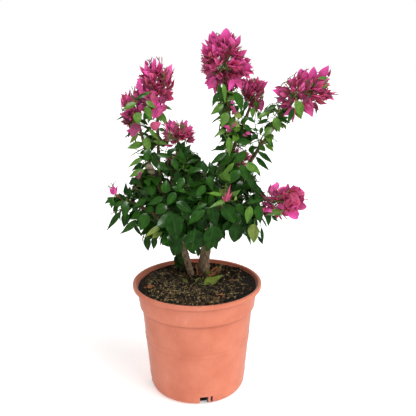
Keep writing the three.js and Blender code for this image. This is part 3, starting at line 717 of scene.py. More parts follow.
# Straws and root hairs: thin bent tubes that lie over the mix
def strawSkin(rng):
    count = mix["straws"]
    x, y = randomPlaces(rng, count, mix["strawReach"])
    length = between(mix["strawLength"], rng.random(count) ** 2)
    turn = 2 * np.pi * rng.random(count)
    part = np.linspace(-0.5, 0.5, len(mix["strawTaper"]))
    bend = (rng.random(count) - 0.5) * 0.5
    away = part * length[:, None]
    aside = bend[:, None] * length[:, None] * (part ** 2 - 0.1)
    px = x[:, None] + away * np.cos(turn)[:, None] - aside * np.sin(turn)[:, None]
    py = y[:, None] + away * np.sin(turn)[:, None] + aside * np.cos(turn)[:, None]
    lift = 0.9 + 0.9 * rng.random(count)
    pz = mixHeight(px, py) * 0.5 + mixHeight(x, y)[:, None] * 0.5 + lift[:, None]
    paths = np.stack([px, py, pz], axis=-1)
    radii = (0.25 + 0.4 * rng.random(count) ** 3)[:, None] * np.array(mix["strawTaper"])
    slots = np.where(rng.random(count) < 0.45, 2, np.where(rng.random(count) < 0.8, 1, 3))
    return tubes(paths, radii, 4, slots)


# One tone of the mix: peat, bark and straw are dull and rough, with a finer mottling than a crumb
def mixMaterial(name, dark, light):
    material, tree, shader = newMaterial(name)
    place = addNode(tree, "TexCoord").outputs["Object"]
    mottle = addNode(tree, "TexNoise", {"Vector": place, "Scale": 1 / (2.2 * mm), "Detail": 4.0})
    tone = addNode(tree, "ValToRGB", {"Fac": mottle.outputs["Fac"]}, ((0.35, dark), (0.68, light)))
    bump = addNode(tree, "Bump", {
        "Strength": 0.6, "Distance": 0.6 * mm, "Height": mottle.outputs["Fac"]})
    setInputs(shader, {"Base Color": tone.outputs[0], "Normal": bump.outputs[0], "Roughness": 0.85})
    return material


# The mix with its crumbs, and the straws on it
def makeMix():
    rng = np.random.default_rng(mix["seed"])
    tones = [mixMaterial(name, *pair) for name, pair in mix["tones"].items()]
    makePiece("pottingMix", [mixBody(), crumbSkin(rng)], tones, ["soil"])
    makePiece("mixStraws", [strawSkin(rng)], tones)


makeMix()

# Limbs

limbPlan = {
    "stem_left": {"foot": (-12, 44), "through": (-23, 38, 245), "tip": (-39, 30, 304),
        "radii": (6.5, 5.2), "flare": 0.15},
    "stem_right": {"foot": (11, 57), "through": (15, 50, 245), "tip": (27, 42, 298),
        "radii": (11.0, 8.2), "flare": 0.1},
    "bough_left": {"parent": ("stem_left", 0.96), "through": (-66, 30, 372), "tip": (-89, 30, 420),
        "radii": (4.9, 3.9)},
    "bough_top": {"parent": ("stem_right", 0.97), "through": (60, 38, 412), "tip": (53, 30, 574),
        "radii": (5.2, 2.5)},
    "bough_right_upper": {"parent": ("stem_right", 0.9), "through": (99, 36, 428), "tip": (170, 17, 537),
        "radii": (4.8, 2.5)},
    "bough_right_low": {"parent": ("stem_right", 0.74), "through": (82, 14, 330), "tip": (124, -5, 353),
        "radii": (4.2, 2.5)},
    "bough_left_low": {"parent": ("stem_left", 0.84), "through": (-90, 22, 336), "tip": (-147, 10, 368),
        "radii": (3.8, 2.5)},
    "bough_centre_left": {"parent": ("stem_left", 0.98), "through": (-44, 20, 382), "tip": (-33, 13, 462),
        "radii": (3.6, 2.5)},
    "bough_front": {"parent": ("stem_right", 0.66), "through": (20, 0, 312), "tip": (44, -42, 366),
        "radii": (3.8, 2.5)},
    "bough_back_left": {"parent": ("stem_left", 0.72), "through": (-52, 74, 330), "tip": (-60, 104, 372),
        "radii": (3.8, 2.5)},
    "bough_back_right": {"parent": ("stem_right", 0.8), "through": (50, 84, 330), "tip": (70, 104, 378),
        "radii": (4.2, 2.5)},
    "shoot_left_outer": {"parent": ("bough_left", 0.9), "through": (-96, 28, 462), "tip": (-106, 20, 510),
        "radii": (3.2, 2.5)},
    "shoot_left_inner": {"parent": ("bough_left", 0.62), "through": (-70, 28, 452), "tip": (-70, 29, 526),
        "radii": (3.2, 2.5)},
    "shoot_mid": {"parent": ("bough_top", 0.52), "through": (82, 46, 486), "tip": (97, 52, 524),
        "radii": (3.1, 2.5)},
}
bark = {
    "seat": 199,
    "sink": 4,
    "ringStep": 1.6,
    "sides": {"stem": 44, "bough": 20},
    "flareReach": 2.2,  # start radii
    "plainFlare": 0.35,
    "relief": {"stem": 0.11, "bough": 0.07},  # part of the radius
    "grain": (3.2, 13),  # across and along
    "finer": (2.7, 0.5),  # how much finer a second grain is, and its share
    "buttress": (0.4, 12),  # depth of three folds at a stem's foot, and how soon they fade
    "spurGap": 17,
    "spurStray": 5,
    "spur": {"stem": 1.5, "bough": 1.0},
    # Name, dark, plain and pale tone, roughness
    "stemSkin": ("greyBrownBark", "#45352a", "#8a735b", "#b09a7e", 0.9),
    "shootSkin": ("youngShootBark", "#4c3a26", "#7b6541", "#96845a", 0.75),
    "greenSkin": ("greenShootSkin", "#4f6328", "#66803a", "#83984e", 0.55),
    # painted shade: a darker copy of the green shoot skin, for fine twigs low in the foliage and long
    # stalks of the chosen leaves
    "shadedSkin": ("shadedShootSkin", "#1c3410", "#294616", "#3f5c24", 0.6),
}


# The radius of a limb at a part of its length
def limbRadius(limb, part):
    return np.interp(part, np.linspace(0, 1, len(limb["radius"])), limb["radius"])


# Each limb's path and radius at even steps: the radius falls in a straight line, times one plus a
# flare that fades from the foot
def plotLimbs():
    limbs = {}
    for name, plan in limbPlan.items():
        if "parent" in plan:
            parent, part = plan["parent"]
            points = [spot(limbs[parent]["path"], part), plan["through"], plan["tip"]]
        else:
            foot = np.array([*plan["foot"], bark["seat"]], float)
            back = unit(foot - np.array(plan["through"])) * bark["sink"]
            points = [foot + back, foot, plan["through"], plan["tip"]]
        path = smoothPath(points)
        length = np.linalg.norm(np.diff(path, axis=0), axis=1).sum()
        part = np.linspace(0, 1, len(path))
        fade = np.exp(-part * length / (bark["flareReach"] * plan["radii"][0]))
        radius = between(plan["radii"], part) * (1 + plan.get("flare", bark["plainFlare"]) * fade)
        limbs[name] = {"path": path, "radius": radius, "length": length}
    return limbs


limbs = plotLimbs()


# Bark relief: the radius times one plus noise stretched along the limb, plus a round spur at each
# leaf scar, a golden turn on from the last
def limbSkin(name, index):
    limb = limbs[name]
    kind = "stem" if "foot" in limbPlan[name] else "bough"
    sides = bark["sides"][kind]
    part = np.linspace(0, 1, int(limb["length"] / bark["ringStep"]))
    radius = limbRadius(limb, part)
    turn = np.arange(sides) * 2 * np.pi / sides
    distance = part[:, None] * limb["length"] + 0 * turn
    across, along = bark["grain"]
    local = np.stack([radius[:, None] * np.cos(turn) / across, radius[:, None] * np.sin(turn) / across,
                      distance / along], axis=-1)
    finer, share = bark["finer"]
    ridges = noise(local, 1, 60 + index) + share * noise(local * finer, 1, 90 + index)
    if kind == "stem":
        depth, fade = bark["buttress"]
        ridges = ridges + depth * np.cos(3 * turn + index) * np.exp(-distance / fade)
    spurs = np.zeros_like(distance)
    size = bark["spur"][kind]
    for i in range(1, int(limb["length"] / bark["spurGap"])):
        place = i * bark["spurGap"] + bark["spurStray"] * chance(index, i)
        gapTurn = (turn - i * golden + np.pi) % (2 * np.pi) - np.pi
        swell = np.exp(-((distance - place) / (1.5 * size)) ** 2)
        spurs += size * swell * np.exp(-(gapTurn * radius[:, None] / (1.6 * size)) ** 2)
        spurs += 0.2 * size * swell
    shaped = radius[:, None] * (1 + bark["relief"][kind] * ridges) + spurs
    return tubes(spot(limb["path"], part)[None], shaped[None], sides)


# Bark of stems and boughs: dry, dull and fissured along the limb, paler on the raised plates
def barkMaterial(name, dark, plain, pale, roughness):
    material, tree, shader = newMaterial(name)
    place = addNode(tree, "TexCoord").outputs["Object"]
    stretched = addNode(tree, "Mapping", {"Vector": place, "Scale": (1, 1, 0.35)})
    plates = addNode(tree, "TexNoise", {
        "Vector": stretched.outputs[0], "Scale": 1 / (3 * mm), "Detail": 6.0, "Roughness": 0.65})
    patches = addNode(tree, "TexNoise", {"Vector": place, "Scale": 1 / (14 * mm), "Detail": 3.0})
    tone = addNode(tree, "ValToRGB", {"Fac": plates.outputs["Fac"]},
                   ((0.34, dark), (0.5, plain), (0.66, pale)))
    shade = addNode(tree, "MapRange", {
        "Value": patches.outputs["Fac"], "From Min": 0.35, "From Max": 0.65, "To Max": 0.45})
    varied = addNode(tree, "Mix", {0: shade.outputs[0], 6: tone.outputs[0], 7: linear(plain)},
                     data_type="RGBA")
    bump = addNode(tree, "Bump", {
        "Strength": 0.7, "Distance": 0.8 * mm, "Height": plates.outputs["Fac"]})
    setInputs(shader, {"Base Color": varied.outputs[2], "Normal": bump.outputs[0],
                       "Roughness": roughness})
    return material


stemBark, shootBark, greenShoot, shadedShoot = (
    barkMaterial(*bark[skin]) for skin in ("stemSkin", "shootSkin", "greenSkin", "shadedSkin"))


# The stems, and the boughs and shoots
def makeLimbs():
    stems = [name for name in limbPlan if "foot" in limbPlan[name]]
    boughs = [name for name in limbPlan if name not in stems]
    for piece, names, first, material in (("stems", stems, 0, stemBark), ("boughs", boughs, 10, shootBark)):
        skins = [limbSkin(name, first + i) for i, name in enumerate(names)]
        makePiece(piece, skins, [material], names, 50)


makeLimbs()

stub = {
    "limb": "bough_left",
    "from": 0.86,
    "radii": (4.8, 6.6, 7.4, 6.8, 4.2),
    "beyond": 5,
    "rows": 12,
    "sides": 16,
    "skin": ("palePrunedWood", "#b8a07c", "#dcc8a4", "#f0e2c6", 0.8),
}


# The pruned end of a bough: a short knob of pale wood, its radius a little uneven round it
def makeStub():
    bough = limbs[stub["limb"]]["path"]
    path = spot(bough, np.linspace(stub["from"], 1, 5))
    tip = path[-1] + heading(bough, 0.97) * stub["beyond"]
    path = evenly(np.vstack([path, tip]), stub["rows"])
    radii = np.interp(np.linspace(0, 1, stub["rows"]), np.linspace(0, 1, 5), stub["radii"])
    turn = np.arange(stub["sides"]) * 2 * np.pi / stub["sides"]
    radii = radii[:, None] * (1 + 0.08 * np.cos(2 * turn + 1) + 0.05 * np.cos(5 * turn))
    makePiece("prunedStub", [tubes(path[None], radii[None], stub["sides"])],
              [barkMaterial(*stub["skin"])], (), 50)


makeStub()
print("pot, mix and limbs ready")

# Masses of foliage and blossom

leafRule = {
    "seed": 101,
    "lifeSize": (0.76, 0.9),  # at the foot and the top: the solids' leaves are larger than life
    "lifeHeights": (360, 480),
    "sizes": (1.14, 0.46),  # largest, and what chance takes off
    "along": 0.3,
    "outward": 0.8,
    "skyward": 0.5,
    "scatter": 0.7,
    "droop": 0.5,
    "broad": 0.15,
    "tries": 9,
    "tryTurn": 0.7,
    "petiole": 0.2,  # part of the leaf's length
    "petioleAlong": 0.5,
    "samples": (0.3, 0.94),  # how far aside and ahead a leaf is tested, as parts of its length
    "apart": 0.2,
    "slack": (0.02, 0.12),  # least, and what chance adds
    "heroGap": 17,
    "stubGap": 15,
    "stubFront": 6,
    "ragged": 26,
    "lowRaised": 14,
    # Where each draw starts in the run of seeded numbers
    "draws": {"size": 500, "aside": 900, "lean": 1300, "slack": 3500, "ragged": 3800, "blade": 4000,
              "broad": 5000, "tone": 6000},
}
shootRule = {
    "gap": 6,
    "foot": 330,
    "first": 0.7,  # of a gap from the limb's start to its first leaf
    "along": 0.5,
    "droop": (0.35, 0.85),
    "length": (0.65, 1.0),
    "stalk": 0.22,  # part of the leaf's length
    "stalkAlong": 0.6,
    "sunk": 0.9,  # a stalk starts at this part of the limb's radius
    "facing": (0.9, 0.4, 0.7),  # upward, along the limb and by chance
    "reach": 1.2,
    "broad": 0.1,
    "spray": 4,  # leaves in one
    "seed": 700,
}
bloomRule = {
    "seed": 201,
    "sizes": (0.42, 0.24, 0.3),  # least, what chance adds, and what height adds
    "splay": (0.2, 0.5),  # least, and what chance adds
    "along": 0.55,
    "broad": (-0.6, 0.6),
    "rising": 0.4,  # added to the height in the head, so that bracts grow from below its middle
    "ring": 0.8,  # from the twig's end to the foot of a bract
    "bractRoom": (0.02, 0.8),  # how far one may be past its own mass and inside another
    "tubeRoom": (0, 0.6),
    "tubeSizes": (0.75, 0.5),  # least, and what chance adds
    "tubeBow": (0.5, 0.12),  # along the axis and away from it
    "tube": 0.58,  # part of the plan's length
    "tubeRadius": 0.8,
    "tubeSwell": (1.1, 0.9, 0.8, 1.1, 0.8),
    "tubesLean": 0.4,
    "tubesTurn": 0.7,
    "draws": {"turn": 300, "size": 500, "splay": 700, "lean": 800, "tube": 850, "tubeTone": 880,
              "blade": 4000, "broad": 5000, "bright": 5500},
}
# Each mass: its limb, where on it the stem starts, heart, half size, number of twigs, length of a
# blade, and what sets it apart. A cut is a share of x, a share of z and a limit for their sum.
foliagePlan = {
    "foliage_front_left": ("bough_front", 0.6, (-35, -32, 309), (54, 46, 54), 6, 53,
        {"droop": 0.7, "broad": 0.8, "lowest": 286}),
    "foliage_front_right": ("bough_front", 0.85, (32, -38, 308), (54, 46, 56), 6, 53,
        {"droop": 0.7, "broad": 0.8, "lowest": 304}),
    "foliage_left_tip": ("bough_left_low", 0.8, (-138, 12, 338), (46, 38, 50), 5, 46,
        {"droop": 0.6, "lowest": 286, "dense": 0.7, "cut": ((-1, -1, -178), (0, 1, 374))}),
    "foliage_left_under": ("bough_left_low", 0.45, (-92, 20, 308), (50, 42, 50), 5, 48,
        {"droop": 0.6, "lowest": 287, "outward": 1.0, "cut": ((-1, -1, -178),)}),
    "foliage_left_mid": ("bough_left", 0.7, (-104, 20, 393), (52, 44, 44), 5, 44,
        {"droop": 0.4, "cut": ((-1, 0.64, 386), (-1, 0, 124)), "dense": 0.7}),
    "foliage_left_upper": ("shoot_left_outer", 0.4, (-90, 22, 456), (52, 38, 46), 6, 37,
        {"droop": 0.4, "dense": 0.4, "cut": ((-1, 0, 124),)}),
    "foliage_centre_left": ("bough_centre_left", 0.8, (-24, 10, 422), (50, 44, 48), 5, 42,
        {"droop": 0.4, "cut": ((0.5, 1, 458), (1.2, 1, 450))}),
    "foliage_centre": ("bough_centre_left", 0.45, (-8, -12, 372), (58, 44, 44), 6, 50,
        {"droop": 0.5, "broad": 0.4, "cut": ((0.5, 1, 436),)}),
    "foliage_right_low": ("bough_right_low", 0.8, (92, -6, 325), (48, 42, 54), 6, 50,
        {"droop": 0.7, "broad": 0.4, "lowest": 303, "cut": ((1, 0, 115), (1, 0.58, 333))}),
    "foliage_right": ("bough_right_upper", 0.36, (104, 20, 398), (50, 44, 50), 6, 44,
        {"droop": 0.4, "cut": ((1, -0.67, -168), (1, 0.58, 345)), "dense": 0.75}),
    "foliage_top_low": ("bough_top", 0.5, (46, 16, 424), (42, 40, 44), 5, 42,
        {"droop": 0.4, "dense": 0.85, "cut": ((-1.5, 1, 392),)}),
    "foliage_top_mid": ("bough_top", 0.7, (56, 24, 482), (40, 36, 40), 5, 34,
        {"droop": 0.4, "dense": 0.7, "cut": ((-1, 0, -38),)}),
    "foliage_top_high": ("bough_top", 0.86, (48, 28, 536), (40, 36, 38), 4, 32,
        {"droop": 0.6, "dense": 0.6, "cut": ((-1, 0, -34),)}),
    "foliage_right_upper": ("bough_right_upper", 0.62, (118, 30, 472), (42, 36, 48), 5, 35,
        {"droop": 0.5, "dense": 0.35, "cut": ((1, -0.8, -246),)}),
    "foliage_right_tip": ("bough_right_upper", 0.84, (148, 16, 510), (42, 34, 34), 4, 32,
        {"droop": 0.6, "dense": 0.4, "cut": ((1, -0.8, -236),)}),
    "foliage_back_left": ("bough_back_left", 1, (-72, 104, 346), (66, 52, 62), 6, 53, {"droop": 0.6}),
    "foliage_back_right": ("bough_back_right", 1, (70, 106, 348), (66, 52, 62), 6, 53, {"droop": 0.6}),
    "foliage_back_centre": ("bough_back_left", 0.55, (-4, 92, 372), (50, 44, 46), 5, 48, {"droop": 0.4}),
    "foliage_foot": ("stem_left", 0.1, (-34, 64, 228), (18, 22, 26), 2, 28, {"droop": 0.1}),
}
bloomPlan = {
    "bloom_top": ("bough_top", 1, (50, 30, 609), (51, 48, 56), 10, 36,
        {"dense": 1.5, "slack": 0.14, "cut": ((1, 0.6, 456), (0, 1, 652), (-1, 0, -8), (-1, 1, 628))}),
    "bloom_left_top": ("shoot_left_inner", 1, (-70, 28, 562), (40, 40, 52), 9, 32,
        {"green": 0.05, "dense": 1.15, "cut": ((1, 0, -39), (1, -1, -586))}),
    "bloom_left_outer": ("shoot_left_outer", 0.96, (-117, 12, 522), (28, 30, 46), 5, 29,
        {"green": 0.1, "dense": 1.3, "slack": 0.12, "cut": ((-1, 0, 131), (-1, 1, 677), (-1, -1, -374))}),
    "bloom_centre_left": ("bough_centre_left", 1, (-32, 11, 480), (34, 32, 31), 4, 31,
        {"dense": 1.8, "cut": ((0, 1, 506), (1, 0.8, 388))}),
    "bloom_mid": ("shoot_mid", 1, (104, 53, 549), (30, 32, 40), 5, 31,
        {"dense": 1.9, "cut": ((0, 1, 577), (1, 0, 122))}),
    "bloom_right": ("bough_right_upper", 1, (186, 15, 555), (60, 36, 40), 7, 34,
        {"slack": 0.06, "cut": ((-0.79, 1, 450), (0.3, -1, -466))}),
    "bloom_right_low": ("bough_right_low", 1, (154, -8, 362), (46, 42, 38), 6, 34,
        {"broad": 0.8, "bright": 0.3, "open": 1.2, "rosy": 0.45, "dense": 0.8}),
    "bloom_small_left": ("bough_left_low", 1, (-152, 8, 385), (13, 14, 16), 1, 17, {"chosen": True}),
    "bloom_small_centre": ("bough_front", 1, (52, -50, 388), (16, 18, 25), 2, 25, {"chosen": True}),
    "bloom_back_left": ("bough_back_left", 0.9, (-46, 132, 398), (34, 32, 32), 5, 30, {}),
    "bloom_back_right": ("bough_back_right", 0.9, (78, 134, 411), (34, 32, 32), 5, 30, {}),
}
twigRule = {
    "rise": 0.12,
    "skyFall": (0.35, 30),  # slope of the lowest height towards the back, and where it starts
    "roots": (0.4, 0.58),  # where on the stem main twigs start, and over how much of it
    "bow": 1.5,
    "spread": {"foliage": 0.66, "bloom": 0.55},
    "turnDraw": 11,
    "fineDraw": (2000, 300),  # where the first run of draws starts, and the step to the next
    "fineSpread": {"foliage": (0.62, 0.36), "bloom": (0.64, 0.38)},  # outer and inner shell
    "finePerTwig": {"foliage": (4.2, 2.2), "bloom": (10.0, 4.0)},
    "fineShare": {"foliage": 0.12, "bloom": 0.7},  # how far one may be inside another mass
    "fineLead": 0.4,
    "shellTurn": (1.1, 2.3),  # added to the turn, and once more for the inner shell
    "stray": 0.2,  # of the half size
    "leafParts": (0.36, 0.58, 0.8, 1.0),
    "radius": {"stem": 1.9, "twig": 1.15, "fine": 0.7},
    "taper": {"stem": 0.7, "twig": 0.55, "fine": 0.6},
    "sides": {"stem": 8, "twig": 7, "fine": 5},
    "limbShare": 0.8,  # a stem's radius is no more than this part of its limb's end
    "greenAbove": 400,
    "shadedBelow": 430,
    "crownHeart": (0, 35, 340),
    "crownPull": 20,
}


# Each mass's heart, half size and stem: a quadratic curve that rises on its way to the heart
def plotMasses():
    masses = []
    for kind, plan, rule in (("foliage", foliagePlan, leafRule), ("bloom", bloomPlan, bloomRule)):
        for index, (name, row) in enumerate(plan.items()):
            limb, part, heart, half, twigs, length, apart = row
            start = spot(limbs[limb]["path"], part)
            heart = np.array(heart, float)
            middle = (start + heart) / 2 + up * twigRule["rise"] * np.linalg.norm(heart - start)
            masses.append({**apart, "name": name, "kind": kind, "seed": rule["seed"] + index,
                           "limb": limb, "twigs": twigs, "length": length, "heart": heart,
                           "half": np.array(half, float), "order": len(masses),
                           "stem": evenly(bends(start, middle, heart, 41), 41)})
    return masses


masses = plotMasses()
hearts = np.stack([mass["heart"] for mass in masses])
halves = np.stack([mass["half"] for mass in masses])
limbPoints = np.concatenate([limb["path"][::8] for limb in limbs.values()])
limbRadii = np.concatenate([limb["radius"][::8] for limb in limbs.values()])


# How far points are from each mass's heart, the half size being 1
def reaches(points):
    return np.linalg.norm((points[..., None, :] - hearts) / halves, axis=-1)


# True where a point is inside a mass's reach and not far inside another's. The sky shows below its
# lowest height, which falls towards the back, and beyond its cuts.
def inOwnSpace(mass, points, slack=0.04, share=0.12):
    reach = reaches(points)
    own = reach[..., mass["order"]].copy()
    reach[..., mass["order"]] = 9
    slope, front = twigRule["skyFall"]
    within = points[..., 2] > mass.get("lowest", 0) - slope * (points[..., 1] + front)
    for aside, rise, limit in mass.get("cut", ()):
        within &= aside * points[..., 0] + rise * points[..., 2] < limit
    return (own < 1 + slack + mass.get("slack", 0)) & (reach.min(axis=-1) > own - share) & within


# True where a point is clear of every limb: its distance from the limb's middle is over the radius
def clearOfLimbs(points, margin=0.6):
    gap = np.linalg.norm(points[..., None, :] - limbPoints, axis=-1) - limbRadii
    return gap.min(axis=-1) > margin


# Targets spread evenly over a mass: heights fall in even steps while the turn goes on by the
# golden angle, stretched by the half size and a share of it
def spreadTargets(mass, count, share, startTurn):
    order = (np.arange(count) + 0.5) / count
    height = 1 - 2 * order
    turn = np.arange(count) * golden + startTurn
    ring = np.sqrt(1 - height ** 2)
    sphere = np.stack([ring * np.cos(turn), ring * np.sin(turn), height], axis=1)
    return sphere * mass["half"] * share + mass["heart"]


# The source's twigs, straight from the mass's stem to their targets, then finer twigs by the same
# rule from the nearest point of those twigs to targets on an outer and an inner shell
def growTwigs(mass):
    rule = twigRule
    kind, count, seed = mass["kind"], mass["twigs"], mass["seed"]
    startTurn = 2 * np.pi * float(chance(seed, rule["turnDraw"]))
    targets = spreadTargets(mass, count, rule["spread"][kind], startTurn)
    first, span = rule["roots"]
    roots = spot(mass["stem"], first + span * (np.arange(count) + 0.5) / count)
    main = bends(roots, (roots + targets) / 2 + up * rule["bow"], targets, 9)
    fits = (inOwnSpace(mass, main[:, 1:]) & clearOfLimbs(main[:, 1:])).all(axis=1)
    main = main[fits]
    branches = np.concatenate([main[:, 2:].reshape(-1, 3), mass["stem"][20:]])
    directions = np.concatenate([np.gradient(main, axis=1)[:, 2:].reshape(-1, 3),
                                 np.gradient(mass["stem"], axis=0)[20:]])
    firstDraw, drawStep = rule["fineDraw"]
    fine = []
    for shell, (share, perTwig) in enumerate(zip(rule["fineSpread"][kind], rule["finePerTwig"][kind])):
        number = int(round(perTwig * count * mass.get("dense", 1)))
        turn, turnStep = rule["shellTurn"]
        ends = spreadTargets(mass, number, share, startTurn + turn + turnStep * shell)
        draws = np.stack([chance(seed, firstDraw + drawStep * (3 * shell + i) + np.arange(number))
                          for i in range(3)], axis=1)
        ends = ends + rule["stray"] * (2 * draws - 1) * mass["half"]
        gaps = np.linalg.norm(ends[:, None] - branches, axis=-1)
        nearest = gaps.argmin(axis=1)
        starts = branches[nearest]
        ahead = unit(directions[nearest]) * gaps.min(axis=1)[:, None] * rule["fineLead"]
        paths = bends(starts, starts + ahead + up, ends, 7)
        keep = inOwnSpace(mass, paths[:, 2:], share=rule["fineShare"][kind]).all(axis=1)
        keep &= clearOfLimbs(paths[:, 3:]).all(axis=1)
        fine.append(paths[keep])
    return main, np.concatenate(fine)


# Outward for a leaf: away from its mass's heart and, less, away from the crown's
def outwardAt(mass, base):
    pull = unit(base - np.array(twigRule["crownHeart"])) * twigRule["crownPull"]
    return unit(base - mass["heart"] + pull)


